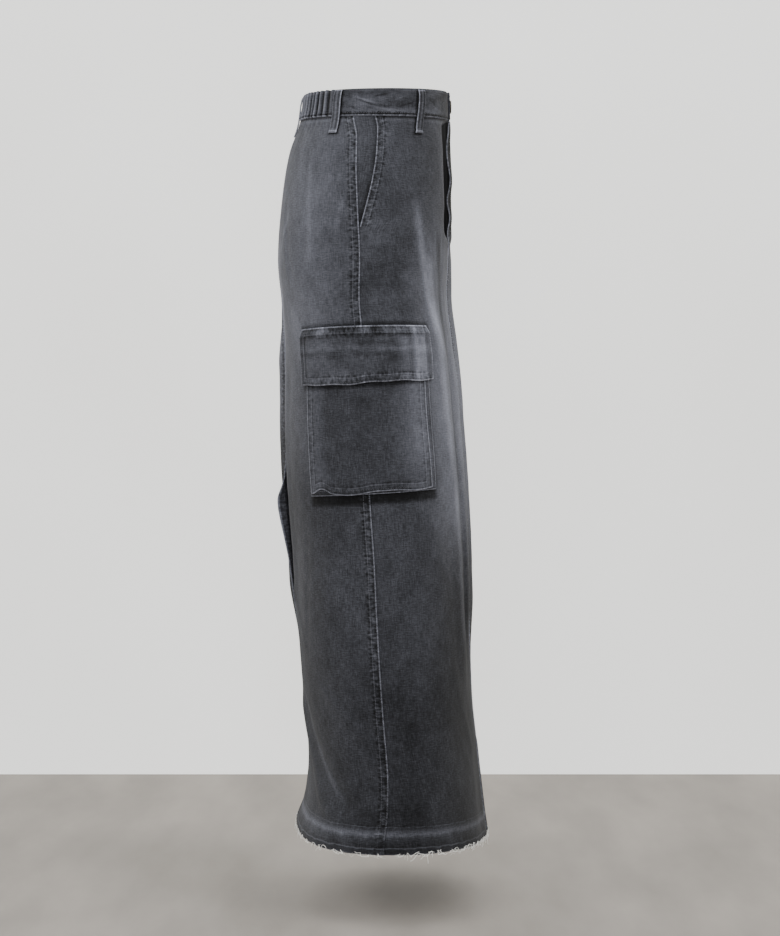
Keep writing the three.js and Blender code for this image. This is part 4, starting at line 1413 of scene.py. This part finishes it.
@dataclass(frozen=True)
class Sewing:
    """All the topstitching. The insets are the distances of a seam's rows from its edge."""

    skirt: Skirt
    seam_insets: tuple[float, ...] = (1.8, 8.6)
    mouth_insets: tuple[float, ...] = (1.8, 7.0)
    front_insets: tuple[float, ...] = (1.2, 3.6)
    band_rows: tuple[float, ...] = (-14.5, 14.0)
    bar_rows: tuple[float, ...] = (-37.2, -36.2, 14.6, 13.6)
    raised: float = LAP_HEIGHT + 0.1

    def build(self, thread: bpy.types.Material) -> list[bpy.types.Object]:
        """Sews the long seams in one piece, and the fly, waistband, loops and pockets in another.

        Args:
            thread: The sewing thread.
        Returns:
            The joined pieces of stitching.
        """
        seams, details = Stitching(), Stitching()
        for side in SIDES.values():
            self._side(seams, details, side)
        low = np.arange(self.skirt.fly_seamed - 6, HEM_LEVEL + 3, -4.0)
        for inset in self.front_insets:
            seams.along(np.full_like(low, -inset * 0.55), low, self.raised)
        fly = np.arange(-22, self.skirt.fly_foot, -3.0)
        over = self.skirt.fly_out(np.full_like(fly, 2.0), fly) + 0.1
        details.along(self.skirt.fly_edge(fly) - 1.2, fly, over)
        seat = np.arange(-22, self.skirt.slit_head, -4.0)
        for inset in self.seam_insets:
            seams.along(180 + inset / HEM_ARC + 0 * seat, seat, self.raised)
        for start, end, level in ((-108, 2, band_over), (-8, 108, band_level)):
            angle = np.arange(start, end, 1.0)
            for height in self.band_rows:
                details.along(angle, np.full_like(angle, height), level(angle) + 0.7)
        return [seams.build("stitching_seams", thread), details.build("stitching_details", thread)]

    def _side(self, seams: Stitching, details: Stitching, side: int) -> None:
        """Sews one side: its seam, the hip pocket's mouth, the cargo pocket and the loops' bartacks.

        Args:
            seams: Takes the rows of the long seams.
            details: Takes the other rows.
            side: 1 for the wearer's right, -1 for the left.
        """
        z = np.arange(-22, HEM_LEVEL + 3, -4.0)
        for inset in self.seam_insets:
            seams.along(side * (side_seam(z) + inset / arc(90, z)), z, self.raised)
        mouth = np.arange(-20, HIP_MOUTH_FOOT + 1, -3.0)
        for inset in self.mouth_insets:
            details.along(side * (opening(mouth) - inset / 2.75), mouth, 0.1)
        self._pocket(details, side)
        bar = np.linspace(-1.9, 1.9, 12)
        for where in ("front_right", "side_right"):
            for level in self.bar_rows:
                over = 2.95 if level < 0 else 3.1
                details.along(side * (LOOPS.ANGLES[where] + bar), np.full(12, level), over)

    @staticmethod
    def _pocket(rows: Stitching, side: int) -> None:
        """Sews a cargo pocket: the flap's top, ends and foot, then the pocket's foot and sides.

        Args:
            rows: Takes the rows.
            side: 1 for the wearer's right, -1 for the left.
        """
        s = np.linspace(-POCKETS.flap_half + 2, POCKETS.flap_half - 2, 60)
        over = POCKETS.on_pocket + POCKETS.flap_ply + 0.7
        for drop, lift in ((1.8, -2.1), (8.2, -0.5)):
            z = POCKETS.flap_top(s) - drop
            rows.along(side * forwards(POCKETS.flap_drawn * s, z), z, over + lift)
        for end in (-1, 1):
            t = np.linspace(0.14, 0.97, 24)
            along = np.full_like(t, end * (POCKETS.flap_half - 2.2))
            z = POCKETS.flap_top(along) + (POCKETS.flap_foot(along) - POCKETS.flap_top(along)) * t
            rows.along(side * forwards(POCKETS.flap_drawn * along, z), z, over)
        z = POCKETS.flap_foot(s) + 2.2
        rows.along(side * forwards(POCKETS.flap_drawn * s, z), z, over + 0.2)
        s = np.linspace(-POCKETS.half + 2, POCKETS.half - 2, 60)
        on = POCKETS.on_gusset + PLY + 0.1
        z = POCKETS.foot(s) + 3.0
        rows.along(side * forwards(s, z), z, on)
        for end in (-1, 1):
            along = np.full(40, end * (POCKETS.half - 2.2))
            z = np.linspace(-350, float(POCKETS.foot(along[0])) + 3, 40)
            rows.along(side * forwards(POCKETS.leaned(along, z), z), z, on)


@dataclass(frozen=True)
class Button:
    """The shank button of the waistband."""

    angle: float = -6.5

    # Distance from the button's axis, and height above the band
    PROFILE = np.array([(0.0, 0), (7.2, 0), (8.2, 0.3), (8.5, 0.8), (8.5, 1.3), (8.1, 1.7), (7.4, 1.9),
                        (6.8, 1.85), (6.2, 1.6), (5.2, 1.55), (3.6, 1.8), (1.8, 2.2), (0.0, 2.3)])

    def build(self, metal: bpy.types.Material) -> bpy.types.Object:
        """Turns the button's profile round its axis.

        Args:
            metal: The button's finish.
        Returns:
            The button.
        """
        turn = np.linspace(0, 2 * math.pi, 49)[:-1]
        centre = FORM.place(self.angle, 0.0, BAND_PROUD + BAND_PLY + 2 * GAP)
        outward = FORM.place(self.angle, 0.0, 10.0) - FORM.place(self.angle, 0.0, 0.0)
        outward /= np.linalg.norm(outward)
        side = np.cross(outward, [0, 0, 1.0])
        inner = self.PROFILE[1:-1]
        ring = np.cos(turn)[:, None] * side + np.sin(turn)[:, None] * np.array([0, 0, 1.0])
        body = centre + inner[:, None, :1] * ring + inner[:, None, 1:] * outward
        points = np.concatenate([[centre], body.reshape(-1, 3), [centre + self.PROFILE[-1, 1] * outward]])
        rows, columns = len(inner), len(turn)
        index = 1 + np.arange(rows * columns).reshape(rows, columns)
        beside = np.roll(index, -1, 1)
        quads = np.stack([index[:-1], beside[:-1], beside[1:], index[1:]], -1).reshape(-1, 4)
        last = len(points) - 1
        caps = [np.stack([np.zeros(columns, int), beside[0], index[0]], -1),
                np.stack([np.full(columns, last), index[-1], beside[-1]], -1)]
        triangles = np.concatenate([quads[:, :3], quads[:, [0, 2, 3]], *caps])
        made = make_mesh("button_front", points * MM, triangles, metal)
        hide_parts("button")
        return made


class Shader:
    """A small helper that lays out a material's nodes."""

    def __init__(self, name: str) -> None:
        """Starts a material with a shader and nothing linked to it.

        Args:
            name: The material's name.
        """
        self.material = bpy.data.materials.new(name)
        self.material.use_nodes = True
        self.tree = self.material.node_tree
        self.shader = self.tree.nodes["Principled BSDF"]

    def node(self, kind: str, inputs: dict[int | str, object] | None = None,
             **settings: object) -> bpy.types.Node:
        """Adds a node.

        Args:
            kind: The node's type.
            inputs: Values, or sockets to link from, by input name or number.
            settings: The node's own settings.
        Returns:
            The node.
        """
        made = self.tree.nodes.new(kind)
        for key, value in settings.items():
            setattr(made, key, value)
        for key, value in (inputs or {}).items():
            self.put(made.inputs[key], value)
        return made

    def put(self, socket: bpy.types.NodeSocket, value: object) -> None:
        """Links a socket, or sets its value.

        Args:
            socket: The input.
            value: An output socket or a constant.
        """
        if isinstance(value, bpy.types.NodeSocket):
            self.tree.links.new(value, socket)
        else:
            socket.default_value = value

    def fact(self, name: str) -> bpy.types.NodeSocket:
        """Reads a named value of the mesh."""
        return self.node("ShaderNodeAttribute", attribute_name=name).outputs["Fac"]

    def math(self, operation: str, *values: object) -> bpy.types.NodeSocket:
        """Reckons with one, two or three values."""
        return self.node("ShaderNodeMath", dict(enumerate(values)), operation=operation).outputs[0]

    def mix(self, share: object, one: object, two: object) -> bpy.types.NodeSocket:
        """Mixes two colours."""
        return self.node("ShaderNodeMix", {0: share, 6: one, 7: two}, data_type="RGBA").outputs[2]


def linear(red: int, green: int, blue: int) -> tuple[float, float, float, float]:
    """Turns screen colour to the renderer's linear values.

    Args:
        red: 0 to 255.
        green: 0 to 255.
        blue: 0 to 255.
    Returns:
        Red, green, blue and alpha.
    """
    values = [c / 255 for c in (red, green, blue)]
    return (*[v / 12.92 if v < 0.04045 else ((v + 0.055) / 1.055) ** 2.4 for v in values], 1.0)


@dataclass(frozen=True)
class DenimFinish:
    """Washed black denim: dark where it was folded away, grey where it has worn.

    Brightness is as on a screen, 0 to 255. A grain row is a noise: marks a metre across and along the cloth,
    detail, and how strongly it shows. The profiles list how much lighter the cloth is at a distance in
    millimetres from a sewn edge and above the raw hem: a worn edge, the dark line beside it and the rows of
    stitching.
    """

    darkest: float = 31.0
    lightest: float = 148.0
    tint: tuple[float, float, float] = (1.0, 1.04, 1.24)
    inside: float = 0.56
    grain: tuple[tuple[str, tuple[int, int, int], int, float], ...] = (
        ("weft", (150, 640, 1), 3, 0.38), ("warp", (640, 90, 1), 3, 0.34), ("speck", (800, 800, 1), 1, 0.24),
        ("cloud", (60, 55, 1), 4, 0.18), ("patch", (16, 10, 1), 3, 0.16))
    seam_profile: tuple[tuple[float, float], ...] = (
        (0, 0.44), (1.2, 0.40), (2.0, -0.16), (3.2, -0.10), (5.5, 0.0), (7.8, -0.02), (8.4, 0.2), (9.1, 0.08),
        (9.8, -0.12), (12.5, 0.0))
    hem_profile: tuple[tuple[float, float], ...] = (
        (0, 0.28), (1.2, 0.12), (2.6, -0.05), (6.8, -0.02), (7.6, 0.2), (8.5, 0.2), (9.4, -0.06), (13, 0.0),
        (20, 0.1), (24.5, 0.34), (27.5, 0.24), (31, 0.06), (32.6, 0.04), (33.4, 0.18), (34.4, -0.03),
        (38, 0.0))

    @staticmethod
    def _noise(s: Shader, place: object, scale: tuple[float, float, float],
               detail: float) -> bpy.types.NodeSocket:
        """Adds noise.

        Args:
            s: The material's nodes.
            place: Where to read the noise.
            scale: Marks a unit in each direction.
            detail: How many finer layers it has.
        Returns:
            The noise, about -0.5 to 0.5.
        """
        spread = s.node("ShaderNodeMapping", {"Vector": place, "Scale": scale}).outputs[0]
        noise = s.node("ShaderNodeTexNoise", {"Vector": spread, "Scale": 1.0, "Detail": detail}).outputs[0]
        return s.math("SUBTRACT", noise, 0.5)

    @staticmethod
    def _profile(s: Shader, distance: object, rows: tuple[tuple[float, float], ...]) -> bpy.types.NodeSocket:
        """Reads a profile, with a colour ramp that holds each value plus a half.

        Args:
            s: The material's nodes.
            distance: Where to read it.
            rows: Distances and values.
        Returns:
            The value at that distance.
        """
        reach = rows[-1][0]
        ramp = s.node("ShaderNodeValToRGB", {0: s.math("DIVIDE", distance, reach)})
        elements = ramp.color_ramp.elements
        elements.remove(elements[-1])
        for number, (place, value) in enumerate(rows):
            element = elements.new(place / reach) if number else elements[0]
            element.position = place / reach
            element.color = (value + 0.5, value + 0.5, value + 0.5, 1)
        return s.math("SUBTRACT", ramp.outputs[0], 0.5)

    def make(self) -> bpy.types.Material:
        """Builds the denim.

        The cloth's tone fact, which holds washing, wear and painted light and shade, is a screen brightness
        between the darkest and lightest cloth. The grain breaks it up, sewn edges and the hem add their profiles,
        and puckers fill the seam bands. On the inner face, painted shade darkens the cloth round the fly.

        Returns:
            The material.
        """
        s = Shader("washed_black_denim")
        uv = s.node("ShaderNodeUVMap", uv_map="cloth").outputs[0]
        noises = {name: self._noise(s, uv, scale, detail) for name, scale, detail, _ in self.grain}
        seam, inside = s.fact("seam"), s.fact("inside")
        along = s.node("ShaderNodeCombineXYZ", {0: seam, 1: s.fact("run")}).outputs[0]
        pucker = self._puckers(s, seam, along)
        lines = self._seam_lines(s, seam, along)
        rise = s.math("MULTIPLY_ADD", noises["cloud"], 5.0, s.fact("rise"))
        hem_lines = self._profile(s, rise, self.hem_profile)
        terms = [(noises[name], strength) for name, _, _, strength in self.grain]
        terms += [(pucker, 0.2), (lines, 1.0), (hem_lines, 0.9)]
        outside = s.math("MULTIPLY", s.fact("fade"), s.math("SUBTRACT", 1.0, inside))
        # The inner face takes its own tone less the painted shade round the fly
        tone = s.math("MULTIPLY_ADD", inside, s.math("SUBTRACT", self.inside, s.fact("inner_shade")), outside)
        for value, strength in terms:
            tone = s.math("MULTIPLY_ADD", value, strength, tone)
        tone = s.math("MAXIMUM", s.math("MINIMUM", tone, 1.0), -0.15)
        shown = s.math("MULTIPLY_ADD", tone, (self.lightest - self.darkest) / 255, self.darkest / 255)
        level = s.math("POWER", shown, 2.2)
        tint = s.node("ShaderNodeCombineXYZ", dict(enumerate(self.tint))).outputs[0]
        colour = s.node("ShaderNodeVectorMath", {0: tint, "Scale": level}, operation="SCALE").outputs[0]
        weave = s.math("ADD", s.math("MULTIPLY", noises["weft"], 0.5), s.math("MULTIPLY", noises["warp"], 0.5))
        height = s.math("MULTIPLY_ADD", pucker, 1.3, s.math("MULTIPLY_ADD", noises["cloud"], 1.8, weave))
        bump = s.node("ShaderNodeBump", {"Height": height, "Strength": 0.6, "Distance": 0.0006}).outputs[0]
        for name, value in (("Base Color", colour), ("Roughness", 0.92), ("Specular IOR Level", 0.15),
                            ("Sheen Weight", 0.05), ("Sheen Roughness", 0.6), ("Normal", bump)):
            s.put(s.shader.inputs[name], value)
        return s.material

    def _puckers(self, s: Shader, seam: bpy.types.NodeSocket,
                 along: bpy.types.NodeSocket) -> bpy.types.NodeSocket:
        """Adds the puckers of the seam bands: blotches within 11 to 15 millimetres of a sewn edge.

        Args:
            s: The material's nodes.
            seam: Distance to the nearest sewn edge.
            along: That distance, and the place along the edge.
        Returns:
            -1 in a hollow to 1 on a ridge.
        """
        blob = s.math("MULTIPLY", self._noise(s, along, (0.13, 0.3, 1), 2), 5.0)
        blob = s.math("MAXIMUM", s.math("MINIMUM", blob, 1.0), -1.0)
        in_band = s.node("ShaderNodeMapRange", {0: seam, 1: 15.0, 2: 11.0, 3: 0.0, 4: 1.0}).outputs[0]
        return s.math("MULTIPLY", blob, s.math("MULTIPLY", in_band, s.fact("crimp")))

    def _seam_lines(self, s: Shader, seam: bpy.types.NodeSocket,
                    along: bpy.types.NodeSocket) -> bpy.types.NodeSocket:
        """Adds the lines beside a sewn edge, unevenly worn and weaker towards the hem.

        Args:
            s: The material's nodes.
            seam: Distance to the nearest sewn edge.
            along: That distance, and the place along the edge.
        Returns:
            How much lighter the cloth is.
        """
        wear = s.math("MULTIPLY_ADD", self._noise(s, along, (0.02, 0.16, 1), 3), 1.9, 0.85)
        lines = s.math("MULTIPLY", self._profile(s, seam, self.seam_profile), wear)
        above_hem = {0: s.fact("rise"), 1: 20.0, 2: 110.0, 3: 0.25, 4: 1.0}
        return s.math("MULTIPLY", lines, s.node("ShaderNodeMapRange", above_hem).outputs[0])


@dataclass(frozen=True)
class PlainFinish:
    """A finish of one colour."""

    name: str
    colour: tuple[int, int, int]
    roughness: float
    metallic: float = 0.0

    def make(self) -> bpy.types.Material:
        """Builds the finish.

        Returns:
            The material.
        """
        s = Shader(self.name)
        s.put(s.shader.inputs["Base Color"], linear(*self.colour))
        s.put(s.shader.inputs["Roughness"], self.roughness)
        s.put(s.shader.inputs["Metallic"], self.metallic)
        return s.material


@dataclass(frozen=True)
class MottledFinish:
    """A plain surface with soft, uneven patches."""

    name: str
    light: tuple[int, int, int]
    dark: tuple[int, int, int]
    scale: tuple[float, float, float]
    glow: float = 0.0

    def make(self) -> bpy.types.Material:
        """Builds the finish from one noise in the object's own coordinates.

        Returns:
            The material.
        """
        s = Shader(self.name)
        place = s.node("ShaderNodeTexCoord").outputs["Object"]
        spread = s.node("ShaderNodeMapping", {"Vector": place, "Scale": self.scale}).outputs[0]
        noise = s.node("ShaderNodeTexNoise", {"Vector": spread, "Scale": 1.0, "Detail": 6.0}).outputs[0]
        share = s.node("ShaderNodeMapRange", {0: noise, 1: 0.3, 2: 0.7}).outputs[0]
        colour = s.mix(share, linear(*self.dark), linear(*self.light))
        s.put(s.shader.inputs["Base Color"], colour)
        s.put(s.shader.inputs["Roughness"], 0.85)
        s.put(s.shader.inputs["Emission Color"], colour)
        s.put(s.shader.inputs["Emission Strength"], self.glow)
        return s.material


@dataclass(frozen=True)
class Studio:
    """The floor, the wall, the light and the camera, in metres."""

    floor: float = -1.018
    near: float = -7.0
    behind: float = 1.15
    half_wide: float = 5.0
    high: float = 4.0
    light: float = 0.75
    eye: tuple[float, float, float] = (-4.5, -0.016, -0.240)
    tilt: float = 2.84
    lens: float = 134.6
    aim: tuple[float, float, float] = (0.0, 0.0, -0.45)

    # Name, place, size and power
    LAMPS = [
        ("key", (-2.6, -2.2, 1.9), 2.2, 50), ("fill", (-2.6, 2.2, 0.9), 2.4, 40),
        ("front", (-4.3, 0.35, 0.25), 1.4, 56), ("top", (-0.6, 0.0, 2.6), 2.4, 26),
    ]

    def build(self) -> None:
        """Sets the stage and the camera at the photo's side-on angle."""
        floor = MottledFinish("floor_grey", (161, 154, 146), (139, 133, 125), (2.0, 9.0, 1.0)).make()
        wall = MottledFinish("wall_white", (238, 239, 237), (232, 232, 229), (1.0, 2.0, 1.5), 0.85).make()
        wide, low = self.half_wide, self.floor
        self._sheet("stage_floor", [(self.near, -wide, low), (self.behind, -wide, low),
                                    (self.behind, wide, low), (self.near, wide, low)], floor)
        self._sheet("stage_wall", [(self.behind, -wide, low), (self.behind, -wide, self.high),
                                   (self.behind, wide, self.high), (self.behind, wide, low)], wall)
        world = bpy.data.worlds.new("studio")
        world.use_nodes = True
        background = world.node_tree.nodes["Background"]
        background.inputs[0].default_value = (0.98, 0.985, 1.0, 1)
        background.inputs[1].default_value = self.light
        bpy.context.scene.world = world
        for lamp in self.LAMPS:
            self._lamp(*lamp)
        self._camera()

    @staticmethod
    def _sheet(name: str, corners: list[tuple[float, float, float]], finish: bpy.types.Material) -> None:
        """Lays one flat sheet of the stage.

        Args:
            name: The sheet's name.
            corners: Its corners, in order.
            finish: Its finish.
        """
        mesh = bpy.data.meshes.new(name)
        mesh.from_pydata(corners, [], [tuple(range(len(corners)))])
        mesh.materials.append(finish)
        sheet = bpy.data.objects.new(name, mesh)
        bpy.context.scene.collection.objects.link(sheet)

    def _lamp(self, name: str, place: tuple[float, float, float], size: float, power: float) -> None:
        """Hangs a square lamp that shines at the skirt's middle.

        Args:
            name: The lamp's name.
            place: Where it hangs.
            size: Its side.
            power: Its power, in watts.
        """
        data = bpy.data.lights.new(name, "AREA")
        data.shape, data.size, data.energy = "SQUARE", size, power
        lamp = bpy.data.objects.new(name, data)
        lamp.location = place
        aim = np.array(self.aim) - np.array(place)
        flat = math.hypot(aim[0], aim[1])
        lamp.rotation_euler = (math.atan2(flat, -aim[2]), 0, math.atan2(aim[1], aim[0]) - math.pi / 2)
        bpy.context.scene.collection.objects.link(lamp)

    def _camera(self) -> None:
        """Puts the camera at the height of the hips on the wearer's right, tilted slightly down."""
        data = bpy.data.cameras.new("camera")
        data.lens, data.sensor_width = self.lens, 36.0
        data.clip_start, data.clip_end = 0.1, 50
        camera = bpy.data.objects.new("camera", data)
        camera.location = self.eye
        camera.rotation_euler = (math.radians(90 - self.tilt), 0, math.radians(-90))
        bpy.context.scene.collection.objects.link(camera)
        bpy.context.scene.camera = camera


def main() -> None:
    """Builds the skirt in order and logs each piece's face count."""
    logging.basicConfig(level=logging.INFO)
    denim = DenimFinish().make()
    undyed = PlainFinish("undyed_weft", (236, 235, 230), 0.9).make()
    sewing = PlainFinish("sewing_thread", (70, 71, 76), 0.8).make()
    metal = PlainFinish("aged_metal", (120, 116, 108), 0.42, 0.9).make()
    skirt = Skirt()
    made = skirt.build(denim)
    for part in (Facings(), Waistband(), LOOPS, POCKETS):
        made += part.build(denim)
    made += Fray().build(undyed)
    made += Sewing(skirt).build(sewing)
    made.append(Button().build(metal))
    Studio().build()
    for piece in made:
        LOG.info("%s: %d faces", piece.name, len(piece.data.polygons))


if __name__ == "__main__":
    main()
